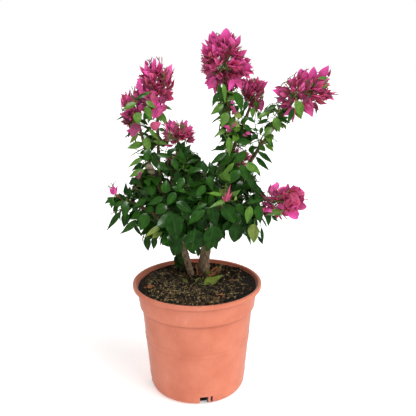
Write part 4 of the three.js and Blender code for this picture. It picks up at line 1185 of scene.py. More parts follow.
# Leaves and bracts that the photo shows plainly, chosen one by one: x, y and z of the base and of
# the tip, breadth and tone. The last bracts are the young flowers of the two smallest heads.
heroLeaves = (
    (39, 0, 553, 25, -6, 530, -0.4, 1), (47, 0, 533, 24, -6, 515, -0.3, 2),
    (46, -8, 568, 52, -14, 534, -0.9, 2), (65, -6, 554, 83, -14, 519, -0.1, 1),
    (53, -2, 519, 44, -10, 493, 0.3, 2), (51, 2, 489, 31, -4, 477, -0.5, 2),
    (56, 6, 483, 45, 2, 468, 0.4, 0), (56, -8, 477, 60, -14, 443, -0.4, 2),
    (71, 4, 467, 97, 0, 467, 0.3, 1), (88, -12, 452, 60, -20, 432, -0.1, 1),
    (65, -20, 434, 41, -28, 408, -0.8, 2), (53, 4, 448, 21, -4, 427, -0.6, 1),
    (54, 8, 459, 33, 4, 452, -0.2, 0), (87, -8, 430, 114, -14, 415, 0.2, 2),
    (108, 8, 450, 138, 4, 426, -0.9, 0), (106, 4, 440, 131, 0, 414, -0.7, 0),
    (112, 8, 460, 123, 6, 451, 1.0, 1), (121, 8, 475, 139, 4, 458, 0.0, 1),
    (132, 4, 493, 118, -2, 476, 0.3, 2), (136, 0, 510, 146, -6, 485, 0.3, 2),
    (139, 16, 497, 143, 14, 481, -0.2, 0), (129, 6, 520, 103, 2, 509, -0.3, 2),
    (126, 12, 506, 104, 8, 496, -0.6, 1), (139, 8, 531, 118, 4, 521, -0.4, 1),
    (99, 14, 488, 112, 12, 486, -0.0, 1), (99, 12, 479, 108, 10, 471, 1.2, 0),
    (83, 10, 496, 99, 6, 485, 0.0, 1), (90, 14, 509, 105, 12, 500, -0.2, 1),
    (100, 20, 526, 98, 14, 507, 0.1, 2), (90, 20, 538, 82, 14, 517, -0.3, 0),
    (104, 18, 536, 106, 14, 523, 0.7, 1), (66, 0, 518, 79, -6, 511, 1.1, 3),
    (64, 0, 501, 76, -6, 495, 0.8, 3), (74, -26, 422, 59, -34, 400, 0.5, 1),
    (-98, 6, 466, -123, 0, 454, -0.1, 2), (-104, 14, 480, -121, 10, 463, -0.4, 3),
    (-93, 4, 439, -126, -2, 424, -0.8, 2), (-90, -2, 475, -81, -10, 454, 0.6, 2),
    (-77, 6, 467, -46, 2, 464, -0.7, 2), (-102, -14, 520, -97, -22, 500, 0.8, 2),
    (-86, -12, 530, -77, -18, 508, 0.2, 2), (-64, 8, 520, -49, 2, 493, -0.5, 2),
    (-67, 4, 517, -61, 0, 502, 0.2, 2), (-83, 4, 489, -63, -2, 469, -0.7, 2),
    (-94, 0, 417, -121, -8, 406, -0.2, 2), (-97, 10, 428, -118, 6, 414, -0.4, 0),
    (-101, 4, 406, -114, -2, 391, 0.2, 0), (-82, 8, 444, -64, 2, 437, 0.9, 0),
    (-70, 0, 446, -38, -6, 440, -0.8, 1), (-52, -4, 447, -33, -8, 458, 0.1, 0),
    (-68, -4, 430, -50, -12, 419, 0.6, 1), (-41, -12, 441, -33, -20, 418, 0.2, 1),
    (-22, -4, 436, -12, -2, 464, -0.4, 0), (-17, 0, 430, 7, 4, 439, -0.5, 0),
    (17, -4, 413, 12, 0, 435, 0.3, 0), (29, -4, 413, 23, 0, 433, 0.4, 0),
    (3, -4, 421, 14, 0, 429, 0.9, 0), (42, 8, 459, 32, 6, 452, 0.5, 1), (-15, 4, 438, 1, 6, 447, -0.3, 0),
    (-102, -20, 536, -125, -26, 526, 0.3, 2), (-83, -22, 551, -103, -26, 545, -0.4, 1),
    (-88, -20, 551, -75, -24, 554, -0.2, 2), (-84, -20, 540, -68, -26, 527, -0.2, 2),
    (-150, 2, 367, -168, -2, 355, -0.3, 1), (-151, 0, 363, -156, -4, 348, 0.3, 1),
    (-145, 4, 352, -153, 2, 339, 0.1, 0), (-136, -2, 358, -148, -6, 352, 0.9, 1),
    (-121, 6, 366, -123, 4, 386, 0.7, 0), (-125, 8, 358, -143, 6, 374, -0.3, 0),
    (-135, -14, 345, -164, -20, 307, -0.9, 0), (-125, -10, 341, -133, -14, 315, 0.6, 0),
    (-108, -16, 330, -138, -22, 300, -0.7, 1), (-115, -6, 318, -98, -10, 293, -0.9, 0),
    (-60, -52, 330, -93, -60, 310, -0.8, 3), (-60, -46, 319, -79, -50, 308, 0.7, 3),
    (-89, -34, 304, -86, -36, 276, 0.0, 0), (-73, -34, 304, -78, -36, 279, 0.1, 0),
    (-60, -30, 305, -65, -32, 284, -0.9, 0), (-59, -36, 315, -51, -40, 289, -0.4, 0),
    (-86, -34, 346, -99, -42, 317, 0.9, 1), (-53, -44, 365, -69, -50, 349, 1.2, 1),
    (-58, -36, 376, -86, -44, 364, -0.2, 1), (-54, -34, 383, -53, -30, 406, 0.8, 1),
    (-41, -44, 396, -15, -48, 387, -0.4, 1), (-36, -50, 388, -49, -56, 365, 0.4, 1),
    (-34, -54, 371, -3, -62, 356, -0.1, 0), (-41, -66, 355, -31, -72, 311, 0.9, 0),
    (-31, -62, 308, -37, -64, 276, 1.2, 0), (-2, -68, 328, -7, -72, 284, 1.1, 0),
    (29, -66, 335, 23, -70, 285, 0.8, 0), (70, -54, 333, 66, -56, 298, 1.1, 0),
    (101, -46, 331, 98, -50, 296, 0.6, 3), (93, -46, 363, 86, -52, 332, -0.1, 2),
    (106, -42, 363, 111, -48, 331, 0.1, 1), (87, -38, 317, 99, -40, 287, -1.0, 0),
    (114, -34, 321, 120, -36, 287, -1.1, 0), (109, -32, 304, 119, -34, 289, -0.7, 0),
    (44, -66, 368, 70, -72, 342, 0.7, 0), (26, -64, 369, 33, -70, 334, 0.5, 0),
    (14, -70, 363, -16, -74, 338, 0.3, 1), (51, -66, 378, 19, -74, 367, -0.9, 2),
    (19, -70, 373, -2, -74, 365, -0.4, 1), (44, -58, 385, 18, -66, 392, -0.5, 2),
    (60, -52, 383, 75, -58, 394, -0.1, 2), (46, -50, 385, 40, -54, 397, 0.6, 3),
    (66, -60, 377, 68, -60, 385, 0.4, 3), (114, -24, 369, 87, -34, 364, -0.8, 1),
    (94, -16, 407, 106, -24, 382, 0.3, 0), (102, -8, 393, 115, -14, 375, -0.3, 0),
    (148, -34, 352, 122, -40, 345, -0.2, 2), (128, -30, 346, 125, -36, 323, 0.0, 1),
    (133, -28, 341, 145, -30, 329, -0.3, 1), (78, -12, 429, 89, -20, 397, -0.2, 1),
    (39, -6, 567, 43, -10, 534, -0.7, 1), (-27, -2, 450, -22, -4, 470, 0.8, 0),
    (-36, 0, 451, -29, -2, 468, 0.8, 0), (-13, 14, 263, -2, 12, 253, 0.1, 1),
    (-102, -20, 345, -116, -26, 331, 0.6, 1), (-84, 0, 520, -92, -4, 505, 0.6, 1),
    (-79, 2, 518, -84, -2, 499, -0.1, 2), (-66, 4, 490, -53, 2, 486, 0.2, 1),
    (-78, 4, 438, -70, 0, 420, 0.3, 0), (83, 8, 522, 71, 4, 505, 0.1, 1),
    (91, 12, 510, 78, 8, 498, 0.2, 1), (109, 18, 518, 115, 14, 503, 0.3, 1),
    (137, 10, 527, 128, 8, 515, 0.4, 1), (116, 12, 492, 112, 10, 478, 0.1, 1),
    (72, 4, 530, 62, 0, 514, 0.4, 1), (-21, -56, 362, -12, -62, 341, 1.0, 0),
    (24, -54, 362, 12, -60, 342, 1.0, 0), (6, -44, 326, 14, -48, 306, 0.6, 0),
    (3, -48, 364, -4, -52, 343, 1.0, 0), (73, -30, 363, 82, -36, 342, 0.6, 1),
    (29, -30, 300, 37, -34, 279, 0.3, 0), (171, -16, 540, 179, -22, 511, 0.3, 2),
    (167, -10, 528, 157, -16, 497, -0.7, 1), (209, 10, 529, 211, 8, 513, -0.8, 0),
    (162, -8, 552, 164, -12, 542, 1.2, 0), (226, 2, 577, 205, 0, 576, -0.8, 2),
    (197, 0, 570, 204, -4, 560, 0.4, 1), (225, 0, 565, 215, -2, 561, 0.0, 2),
    (219, 2, 577, 225, 0, 564, -0.6, 3), (150, -36, 350, 124, -40, 345, -0.5, 2),
    (3, 20, 266, 0, 18, 245, -0.1, 1), (43, -40, 322, 49, -44, 300, -0.0, 0),
    (12, -56, 343, 7, -60, 317, 0.7, 0), (55, -50, 337, 45, -54, 315, 0.4, 0),
    (34, -52, 336, 31, -56, 312, 0.7, 0), (75, -56, 351, 61, -60, 331, 0.4, 0),
    (-23, -50, 335, -27, -54, 311, 0.7, 0), (17, -30, 304, 1, -34, 281, 0.4, 0),
    (87, -40, 347, 97, -44, 326, 0.2, 0), (-89, -22, 370, -112, -28, 357, -0.2, 1),
    (-78, -28, 358, -90, -34, 345, 0.8, 1), (-102, -18, 361, -116, -22, 346, 0.1, 0),
    (15, -58, 401, 0, -66, 386, 0.5, 1), (-21, -48, 413, -34, -54, 393, 0.4, 1),
    (22, -44, 415, 29, -52, 393, 0.3, 1),
)
heroBracts = (
    (34, 10, 634, 28, 6, 655, 0.6, 2), (51, 4, 633, 51, 0, 659, 1.2, 2),
    (31, 16, 623, 14, 14, 642, -0.7, 2), (72, 20, 613, 88, 18, 624, -0.1, 2),
    (81, 20, 583, 95, 16, 601, 0.3, 2), (36, 8, 577, 18, 2, 561, -0.0, 2),
    (65, 2, 575, 55, -4, 554, -0.3, 2), (69, 10, 577, 79, 6, 556, -0.2, 1),
    (27, 16, 602, 6, 14, 609, -0.8, 1), (27, 16, 590, 6, 14, 587, -0.7, 1),
    (68, 14, 630, 76, 12, 648, -0.2, 2), (20, 20, 613, 8, 18, 626, -0.3, 2),
    (31, 10, 583, 15, 8, 575, 0.5, 0), (34, 4, 574, 21, 0, 556, 0.3, 1), (27, 8, 573, 14, 6, 566, 0.6, 1),
    (44, 6, 580, 39, 2, 560, -0.4, 0), (76, 12, 573, 77, 10, 560, 0.9, 0),
    (56, 4, 574, 63, 0, 557, -0.0, 0), (-95, -8, 557, -93, -14, 578, 0.6, 2),
    (-107, 2, 532, -131, 0, 550, -0.4, 1), (-114, 8, 541, -131, 6, 542, -0.2, 1),
    (-108, 0, 501, -134, -4, 517, -0.2, 0), (-101, -8, 501, -113, -14, 477, 0.4, 0),
    (-109, 0, 486, -123, -2, 487, 0.4, 2), (-79, -8, 494, -60, -12, 503, 0.7, 3),
    (-70, 2, 527, -74, -4, 506, 0.2, 1), (-85, -2, 545, -99, -4, 557, 0.3, 1),
    (-82, 0, 532, -95, -2, 540, 0.4, 0), (-77, 4, 547, -86, 2, 560, 0.7, 1),
    (-86, 2, 519, -96, 0, 530, 0.2, 0), (-67, 4, 530, -80, 0, 540, 0.6, 1),
    (-91, 4, 541, -104, 2, 548, 0.1, 0), (-69, 6, 517, -64, 2, 538, -0.4, 2),
    (-75, -8, 539, -70, -14, 559, -0.6, 3), (-73, 14, 592, -69, 12, 611, -0.2, 2),
    (-87, 16, 582, -100, 14, 596, -0.5, 1), (-66, 18, 589, -57, 16, 601, 0.1, 2),
    (-55, 20, 542, -39, 18, 539, -0.0, 3), (-56, 24, 546, -38, 22, 552, -0.3, 3),
    (-91, 12, 570, -103, 10, 576, 0.2, 1), (-86, 10, 553, -92, 8, 570, 0.5, 0),
    (-81, 14, 563, -91, 12, 580, -0.2, 1), (-84, 18, 597, -87, 16, 607, 0.7, 1),
    (-79, -4, 533, -87, -8, 545, 0.9, 0), (-109, -4, 530, -122, -10, 521, 0.2, 1),
    (-110, 0, 514, -133, -4, 516, 0.1, 1), (-103, 2, 490, -118, 0, 503, 0.0, 0),
    (-112, -2, 492, -109, -8, 478, 1.2, 2), (-59, 0, 526, -72, -4, 509, 0.0, 1),
    (-64, 14, 524, -50, 12, 531, -0.1, 0), (-54, 20, 543, -39, 18, 539, 0.7, 1),
    (-96, 6, 526, -106, 4, 538, 0.8, 0), (-88, 6, 522, -100, 4, 531, 0.7, 1),
    (-81, 8, 512, -89, 6, 526, 0.7, 0), (-71, 8, 512, -78, 6, 529, 0.4, 0),
    (-63, 8, 536, -73, 6, 546, 0.9, 1), (-57, 10, 533, -63, 8, 550, 0.2, 0),
    (-98, 6, 533, -87, 4, 543, 0.6, 0), (-105, 4, 519, -115, 2, 531, 0.5, 0),
    (-60, 12, 519, -56, 10, 536, 0.3, 1), (-101, 4, 545, -109, 2, 553, 0.7, 1),
    (112, 46, 558, 127, 44, 572, -0.1, 2), (118, 40, 539, 116, 38, 513, -0.8, 1),
    (106, 46, 565, 109, 44, 580, 0.1, 2), (90, 46, 560, 84, 44, 576, -0.3, 1),
    (-17, 6, 487, -5, 4, 494, 0.4, 2), (-22, 6, 493, -18, 4, 507, 0.2, 2),
    (-43, 6, 493, -47, 4, 509, -0.1, 1), (-50, 6, 479, -59, 4, 484, 1.2, 1),
    (215, 12, 576, 228, 10, 598, 0.4, 2), (228, 12, 578, 232, 10, 593, -1.0, 0),
    (190, 10, 573, 186, 8, 591, 0.4, 2), (200, 8, 574, 202, 4, 597, 0.5, 2),
    (182, 8, 573, 178, 4, 593, 1.2, 2), (152, 10, 548, 130, 8, 557, -0.2, 2),
    (151, 12, 539, 132, 10, 544, -1.0, 0), (217, 14, 551, 239, 12, 549, -0.1, 1),
    (216, 16, 543, 237, 14, 540, -0.6, 1), (190, 4, 537, 201, -2, 510, 0.3, 1),
    (184, 6, 533, 193, 2, 515, 0.2, 0), (182, 12, 551, 173, 10, 573, 0.1, 1),
    (174, 12, 550, 162, 10, 567, 0.1, 0), (188, 14, 553, 187, 12, 572, 0.4, 2),
    (202, 12, 534, 214, 10, 521, 0.2, 0), (173, 2, 525, 150, -4, 513, -0.4, 1),
    (170, 2, 518, 167, 0, 498, -1.4, 1), (165, 4, 526, 157, 2, 530, 1.2, 0),
    (208, 14, 560, 219, 12, 553, 0.6, 1), (154, 4, 543, 140, 2, 535, 1.2, 0),
    (158, 4, 538, 148, 0, 526, 1.1, 0), (162, 6, 548, 146, 4, 561, 0.5, 1),
    (166, 6, 536, 159, 4, 548, 1.1, 0), (185, 4, 541, 177, 2, 553, 1.1, 0),
    (194, 6, 546, 187, 4, 533, 1.1, 0), (136, -12, 374, 131, -14, 394, 0.5, 1),
    (140, -8, 370, 140, -10, 389, 0.0, 0), (132, -14, 363, 116, -18, 376, -0.2, 0),
    (131, -16, 357, 113, -20, 367, -0.6, 0), (130, -18, 348, 111, -24, 352, -0.1, 1),
    (128, -24, 345, 125, -28, 335, 1.2, 1), (139, -24, 354, 127, -30, 363, 0.0, 1),
    (158, -26, 365, 149, -32, 386, 0.2, 1), (159, -10, 374, 159, -12, 397, 0.2, 1),
    (170, -14, 373, 173, -18, 394, 0.8, 1), (180, -8, 373, 184, -8, 390, -0.1, 1),
    (182, -10, 369, 191, -12, 381, 1.2, 1), (177, -20, 358, 195, -26, 356, 1.2, 1),
    (145, -28, 362, 152, -34, 353, 1.2, 1), (159, -30, 372, 161, -36, 357, 1.2, 3),
    (164, -30, 354, 177, -36, 336, 1.2, 2), (173, -30, 356, 168, -34, 366, 0.8, 3),
    (134, -18, 361, 123, -22, 357, 0.7, 0), (141, -26, 347, 152, -30, 346, 1.2, 1),
    (138, -16, 366, 126, -20, 373, 0.4, 0), (145, -14, 368, 137, -16, 381, 0.6, 0),
    (150, -22, 357, 141, -26, 347, 0.9, 0), (184, -14, 362, 192, -18, 370, 1.2, 1),
    (60, -2, 530, 68, -6, 521, 0.0, 1), (62, 0, 522, 71, -4, 518, -0.0, 1),
    (61, 2, 533, 63, 0, 542, -0.1, 2), (59, 0, 492, 46, -4, 495, -0.2, 1),
    (61, 0, 490, 53, -4, 485, 0.7, 0), (62, 0, 495, 70, -4, 499, 0.5, 1),
    (87, 6, 484, 97, 4, 480, 0.1, 1), (82, 8, 480, 89, 6, 476, 0.4, 0),
    (-101, -8, 409, -97, -10, 419, -0.3, 0), (-106, -8, 404, -98, -10, 410, -0.1, 0),
    (-148, 2, 372, -157, 0, 386, -0.0, 2), (-147, 0, 372, -152, -2, 392, -1.1, 1),
    (-147, 0, 372, -148, -2, 394, -1.6, 0), (-147, 0, 373, -141, -2, 392, -1.5, 3),
    (-146, -2, 373, -145, -4, 387, -0.3, 2), (51, -66, 375, 58, -66, 408, -1.9, 3),
    (52, -68, 376, 61, -68, 395, -1.6, 3), (50, -66, 376, 43, -68, 388, -1.2, 3),
    (51, -68, 376, 49, -70, 394, -1.5, 3), (51, -70, 377, 55, -70, 401, -1.7, 3),
    (51, -72, 377, 54, -74, 389, -0.7, 3),
)
heroMiddles = np.array([(np.array(row[:3]) + row[3:6]) / 2 for row in heroLeaves])
keptClear = {
    # Round gaps where the photo shows sky through the bush: x, z and radius on the shoots' plane
    "gaps": (
        (99, 498, 7), (117, 487, 11), (91, 515, 5), (131, 507, 5), (112, 475, 7), (93, 459, 5),
        (126, 548, 14), (120, 530, 5), (-98, 475, 5), (-81, 479, 6), (-74, 424, 4), (-60, 434, 5),
        (-53, 401, 6), (-45, 412, 4), (-22, 434, 5), (-64, 406, 4), (-101, 350, 4), (-101, 375, 5),
        (65, 349, 4), (-111, 445, 9), (-121, 455, 7), (219, 567, 5), (82, 361, 5), (40, 307, 4),
        (109, 392, 7), (219, 533, 7), (154, 575, 5), (-48, 596, 5),
    ),
    "plane": 10,  # the y of the shoots' plane
    "stub": (-89, 24, 416),  # no leaf hides the pruned stub here
}


# True where a point hides no gap: its place on the shoots' plane, by similar triangles from the
# camera, is outside every gap
def offGaps(points):
    gaps = np.array(keptClear["gaps"], float)
    eye = np.array(camera["place"], float)
    ray = points - eye
    onPlane = eye + ray * ((keptClear["plane"] - eye[1]) / ray[..., 1:2])
    away = np.linalg.norm(onPlane[..., None, ::2] - gaps[:, :2], axis=-1)
    return (away > gaps[:, 2]).all(axis=-1)


chosenRule = {
    "facing": (0, -1, 0.35),  # towards the viewer and a little up
    "tilt": 0.9,
    "draw": (0.3, 0.4),  # least, and what chance adds
}


# One blade for each row given, facing the viewer and tilted by chance
def chosenBlades(chosen, seed):
    rows = np.array(chosen, float)
    forward = rows[:, 3:6] - rows[:, :3]
    index = np.arange(len(rows))
    tilt = np.stack([chance(seed + i, index) - 0.5 for i in range(3)], axis=1)
    least, more = chosenRule["draw"]
    return {"base": rows[:, :3], "forward": forward,
            "facing": tilt * chosenRule["tilt"] + chosenRule["facing"],
            "length": np.linalg.norm(forward, axis=1), "broad": rows[:, 6],
            "draw": least + more * chance(seed, index), "tone": rows[:, 7].astype(int)}


# The part of the plan's leaf length that a leaf takes at a height
def lifeSize(height):
    return np.interp(height, leafRule["lifeHeights"], leafRule["lifeSize"])


# Leaves by the source's rule: round the twig by golden turns, leaning along it and outward and
# drooping. Each leaf takes the first of its tries that keeps to its mass and clears the limbs.
def growLeaves(mass, fine):
    rule, draws, seed = leafRule, leafRule["draws"], mass["seed"]
    parts = twigRule["leafParts"]
    base = np.stack([fine[:, int(round(part * 6))] for part in parts], axis=1).reshape(-1, 3)
    along = np.repeat(unit(fine[:, -1] - fine[:, -3])[:, None], len(parts), axis=1).reshape(-1, 3)
    twig = np.repeat(np.arange(len(fine)), len(parts))
    slot = np.arange(len(base))
    outward = outwardAt(mass, base)
    turn = slot[:, None] * golden + np.arange(rule["tries"]) * rule["tryTurn"]
    away = around(turn, *acrossFrames(along))
    forward = away + rule["along"] * along[:, None]
    forward = forward + mass.get("outward", rule["outward"]) * outward[:, None]
    forward = unit(forward - mass.get("droop", rule["droop"]) * up)
    tilt = np.stack([chance(seed, draws["aside"] + slot), chance(seed, draws["lean"] + slot),
                     np.full(len(slot), 0.5)], axis=1) - 0.5
    facing = outward + rule["skyward"] * up + rule["scatter"] * tilt
    largest, less = rule["sizes"]
    size = largest - less * chance(seed, draws["size"] + slot)
    length = mass["length"] * lifeSize(base[:, 2]) * size
    petiole = unit(forward + rule["petioleAlong"] * along[:, None])
    petiole = petiole * (rule["petiole"] * length)[:, None, None]
    root = base[:, None] + petiole
    side = unit(np.cross(np.broadcast_to(facing[:, None], forward.shape), forward))
    aside, ahead = rule["samples"]
    half = aside * length[:, None, None]
    middle = root + forward * 0.5 * length[:, None, None]
    samples = np.stack([middle, middle + side * half, middle - side * half,
                        root + forward * ahead * length[:, None, None]], axis=2)
    least, more = rule["slack"]
    slack = least + more * chance(seed, draws["slack"] + slot)[:, None, None]
    ragged = rule["ragged"] * chance(seed, draws["ragged"] + slot)[:, None]
    fits = (inOwnSpace(mass, samples, slack) & clearOfLimbs(samples) & offGaps(samples)).all(axis=-1)
    fits &= samples[..., 2].min(axis=-1) > mass.get("lowest", 0) + ragged - rule["lowRaised"]
    heroGap = np.linalg.norm(middle[:, :, None] - heroMiddles, axis=-1).min(axis=-1)
    fromStub = middle - keptClear["stub"]
    beforeStub = fromStub[..., 1] < rule["stubFront"]
    beforeStub &= np.linalg.norm(fromStub[..., [0, 2]], axis=-1) < rule["stubGap"]
    fits &= (heroGap > rule["heroGap"]) & ~beforeStub
    chosen = fits.argmax(axis=1)
    kept = []
    for i in np.flatnonzero(fits.any(axis=1)):
        centre = middle[i, chosen[i]]
        gaps = [np.linalg.norm(centre - middle[j, chosen[j]]) for j in kept]
        if not gaps or min(gaps) > rule["apart"] * length[i]:
            kept.append(i)
    kept = np.array(kept, int)
    pick = chosen[kept]
    return {"twigPoint": base[kept], "base": root[kept, pick], "forward": forward[kept, pick],
            "facing": facing[kept], "length": length[kept], "spray": twig[kept],
            "draw": chance(seed, draws["blade"] + slot[kept]),
            "broad": mass.get("broad", rule["broad"]) * (0.5 + chance(seed, draws["broad"] + slot[kept]))}


# Leaves set straight on the boughs and shoots, a golden turn apart, wherever a mass reaches
def growShootLeaves(name, index):
    rule = shootRule
    limb = limbs[name]
    seed = rule["seed"] + index
    count = int(limb["length"] / rule["gap"])
    part = (np.arange(count) + rule["first"]) / count
    foot = spot(limb["path"], part)
    along = heading(limb["path"], part)
    slot = np.arange(count)
    away = around(slot * golden + index, *acrossFrames(along))
    droop = between(rule["droop"], chance(seed, slot))[:, None]
    forward = unit(away + rule["along"] * along - droop * up)
    nearest = reaches(foot)[:, :len(foliagePlan)].argmin(axis=1)
    plainLength = np.array([mass["length"] for mass in masses])[nearest]
    length = plainLength * lifeSize(foot[:, 2]) * between(rule["length"], chance(seed + 20, slot))
    skinPoint = foot + away * (limbRadius(limb, part) * rule["sunk"])[:, None]
    base = skinPoint + (unit(away + rule["stalkAlong"] * along) * rule["stalk"]) * length[:, None]
    tip = base + forward * length[:, None]
    keep = (reaches(tip).min(axis=1) < rule["reach"]) & (foot[:, 2] > rule["foot"])
    keep &= clearOfLimbs(tip) & clearOfLimbs((base + tip) / 2) & offGaps((base + tip) / 2)
    tilt = np.stack([chance(seed + 40, slot), chance(seed + 60, slot), 0.5 + 0 * part], axis=1)
    upward, onward, byChance = rule["facing"]
    leaves = {"twigPoint": skinPoint, "base": base, "forward": forward,
              "facing": upward * up + onward * along + byChance * (tilt - 0.5), "length": length,
              "spray": slot // rule["spray"], "draw": chance(seed + 80, slot),
              "broad": rule["broad"] + 0 * part}
    return {key: value[keep] for key, value in leaves.items()}


# Blades

bladeRing = {
    "across": (1, 0.55, 0, -0.55, -1, -0.55, 0, 0.55),
    "face": (0, 1, 1, 1, 0, -1, -1, -1),  # up on the face, down on the back, none at the edges
    "archFrom": 0.15,  # the arch counts from this part of the length
    "widthSpread": 0.18,
    "curlSpread": (0.4, 1.2),  # least, and what chance adds
    "thinEnds": 12,
    "again": {"curl": 7, "twist": 3, "sway": 11, "wave": 5},  # a blade's draw, times this
}


# Rings of blades. Across runs from -1 to 1 over the width and part from base to tip. A point is the
# base, plus the length forward, plus the half width times across to the side, plus along the
# normal: the fold and cup by across, the arch by the part squared, a wave at the edge and half the
# thickness. The half width is the part to one power times what is left to another.
def bladeSkin(blades, shape, slots):
    start = bladeRing["archFrom"]
    times = bladeRing["again"]
    forward = unit(blades["forward"])
    side = np.cross(blades["facing"], forward)
    weak = np.linalg.norm(side, axis=-1) < 0.05
    side[weak] = np.cross(np.array([1.0, 0.2, 0]), forward[weak])
    side = unit(side)
    normal = np.cross(forward, side)
    length, draw, broad = (blades[part][:, None, None] for part in ("length", "draw", "broad"))
    p, q = (between(pair, broad) for pair in shape["outline"])
    widest = p / (p + q)
    t = np.array(shape["stations"])[None, :, None]
    a = np.array(bladeRing["across"])[None, None]
    halfWidth = 0.5 * between(shape["width"], broad) * (t / widest) ** p * ((1 - t) / (1 - widest)) ** q
    halfWidth = halfWidth * (1 + bladeRing["widthSpread"] * (2 * draw - 1))
    fold = shape["fold"] * (0.5 + draw) * halfWidth * np.abs(a)
    cup = shape["cup"] * halfWidth * a ** 2
    least, more = bladeRing["curlSpread"]
    curl = shape["curl"] * (least + more * again(draw, times["curl"]))
    arch = -curl * (t - start) ** 2 * np.sign(t - start)
    phase = shape["waves"] * t + draw * times["wave"] + 0.25 * a
    wave = shape["wave"] * a ** 2 * np.sin(2 * np.pi * phase)
    depth = fold + cup + arch + wave * halfWidth
    twistEnd = shape["twist"] * (2 * again(draw, times["twist"]) - 1)
    swayEnd = shape["sway"] * (2 * again(draw, times["sway"]) - 1)
    twist = twistEnd * t
    acrossOut = (a * halfWidth * np.cos(twist) - depth * np.sin(twist) + swayEnd * t ** 2) * length
    upOut = (a * halfWidth * np.sin(twist) + depth * np.cos(twist)) * length
    thick = shape["thickness"] * 0.5 * np.array(bladeRing["face"])
    thick = thick * np.minimum(1, bladeRing["thinEnds"] * t * (1 - t))
    rings = (blades["base"][:, None, None]
             + forward[:, None, None] * (t * length + 0 * a)[..., None]
             + side[:, None, None] * acrossOut[..., None]
             + normal[:, None, None] * (upOut + thick)[..., None])
    curl, twistEnd, swayEnd, length = (value[:, 0] for value in (curl, twistEnd, swayEnd, length))
    tipDepth = -curl * (1 - start) ** 2
    tips = (blades["base"] + forward * length + normal * tipDepth * np.cos(twistEnd) * length
            + side * (swayEnd - tipDepth * np.sin(twistEnd)) * length)
    starts = blades["base"] + normal * (curl * start ** 2) * length
    bladeMap = np.stack([(a[0] + 1) / 2 + 0 * t[0], t[0] + 0 * a[0]], axis=-1)
    return loft(rings, starts, tips, bladeMap, slots, turned=4)


# Leaf tissue: waxy and fairly glossy, with a paler midrib and side veins by the blade's own map,
# and a mottling about as wide as the mesh of veins. Bracts are the same tissue gone papery, so
# they are duller, and a paler tip colour comes in from a third of the way up: painted light, as
# if shining through the thin tip.
def leafMaterial(name, dark, plain, vein, roughness, tip=None):
    material, tree, shader = newMaterial(name)
    blade = addNode(tree, "UVMap", uv_map="bladeMap")
    axes = addNode(tree, "SeparateXYZ", {0: blade.outputs[0]})
    offset = addNode(tree, "Math", {0: axes.outputs[0], 1: 0.5}, operation="SUBTRACT")
    away = addNode(tree, "Math", {0: offset.outputs[0]}, operation="ABSOLUTE")
    midrib = addNode(tree, "MapRange", {
        "Value": away.outputs[0], "From Min": 0.04, "From Max": 0.01, "To Max": 0.42})
    slant = addNode(tree, "Math", {0: away.outputs[0], 1: -3.4}, operation="MULTIPLY")
    rising = addNode(tree, "Math", {0: axes.outputs[1], 1: 6.5, 2: slant.outputs[0]},
                     operation="MULTIPLY_ADD")
    nearVein = addNode(tree, "Math", {0: rising.outputs[0], 1: 0.5}, operation="PINGPONG")
    sideVein = addNode(tree, "MapRange", {
        "Value": nearVein.outputs[0], "From Min": 0.08, "From Max": 0.0, "To Max": 0.16})
    veins = addNode(tree, "Math", {0: midrib.outputs[0], 1: sideVein.outputs[0]}, operation="MAXIMUM")
    place = addNode(tree, "TexCoord").outputs["Object"]
    mottle = addNode(tree, "TexNoise", {"Vector": place, "Scale": 1 / (9 * mm), "Detail": 3.0})
    patches = addNode(tree, "MapRange", {
        "Value": mottle.outputs["Fac"], "From Min": 0.36, "From Max": 0.64})
    layers = [(patches, plain)]
    # Painted light: the tip colour fades in towards the tip, as light through a thin bract
    if tip:
        paintedTipLight = addNode(tree, "MapRange", {
            "Value": axes.outputs[1], "From Min": 0.35, "From Max": 1.0, "To Max": 0.9})
        layers.append((paintedTipLight, tip))
    colour = linear(dark)
    for cover, tone in [*layers, (veins, vein)]:
        colour = addNode(tree, "Mix", {0: cover.outputs[0], 6: colour, 7: linear(tone)},
                         data_type="RGBA").outputs[2]
    bump = addNode(tree, "Bump", {
        "Strength": 0.35, "Distance": 0.5 * mm, "Height": veins.outputs[0]}, invert=True)
    setInputs(shader, {"Base Color": colour, "Normal": bump.outputs[0], "Roughness": roughness,
                       "Specular IOR Level": 0.5})
    return material


leafShape = {
    "stations": (0.04, 0.12, 0.24, 0.38, 0.54, 0.7, 0.83, 0.93),
    "width": (0.46, 0.72),  # pointed leaves, then broad ones
    "outline": ((0.74, 0.56), (1.35, 0.96)),
    "fold": 0.26,
    "cup": -0.1,
    "curl": 0.2,
    "wave": 0.1,
    "waves": 1.6,
    "twist": 0.35,
    "sway": 0.08,
    "thickness": 0.4,
}
leafLook = {
    "tones": (  # name, dark, plain, vein, roughness
        ("deepGreenLeaf", "#143708", "#204d0e", "#407026", 0.3),
        ("midGreenLeaf", "#1e4a0a", "#2a5d0f", "#4c7c26", 0.32),
        ("freshGreenLeaf", "#487220", "#5f8a2d", "#86a84c", 0.36),
        ("yellowGreenLeaf", "#68812e", "#87993e", "#a9b35e", 0.5),
        ("leafUnderside", "#355c22", "#47722f", "#688e48", 0.6),
    ),
    "underside": 4,
    "fresh": (330, 260),  # height where leaves start to be fresher, and the rise to the freshest
    "bySpray": 0.48,
    "byLeaf": 0.25,
    "limits": (0.22, 0.5, 0.93),  # scores where the second, third and fourth tone begin
    "heroFold": 0.4,
    "heroSeed": 77,
}
petioleRule = {
    "radii": (0.75, 0.55, 0.5, 0.55),
    "lead": 0.08,  # part of the leaf's length
    "sunk": 0.3,
    "heroLead": 9,
    "heroRise": 3,
    "behind": (12, 0.8),  # longer ones bow back by this share of what is past the limit
    "shadedFrom": 16,
}


# Each blade's tone on its face and the underside's on its back, for the eight sides of its rings
def bothSides(tones):
    slots = np.repeat(np.reshape(tones, (-1, 1)), 8, axis=1)
    slots[:, 4:] = leafLook["underside"]
    return slots


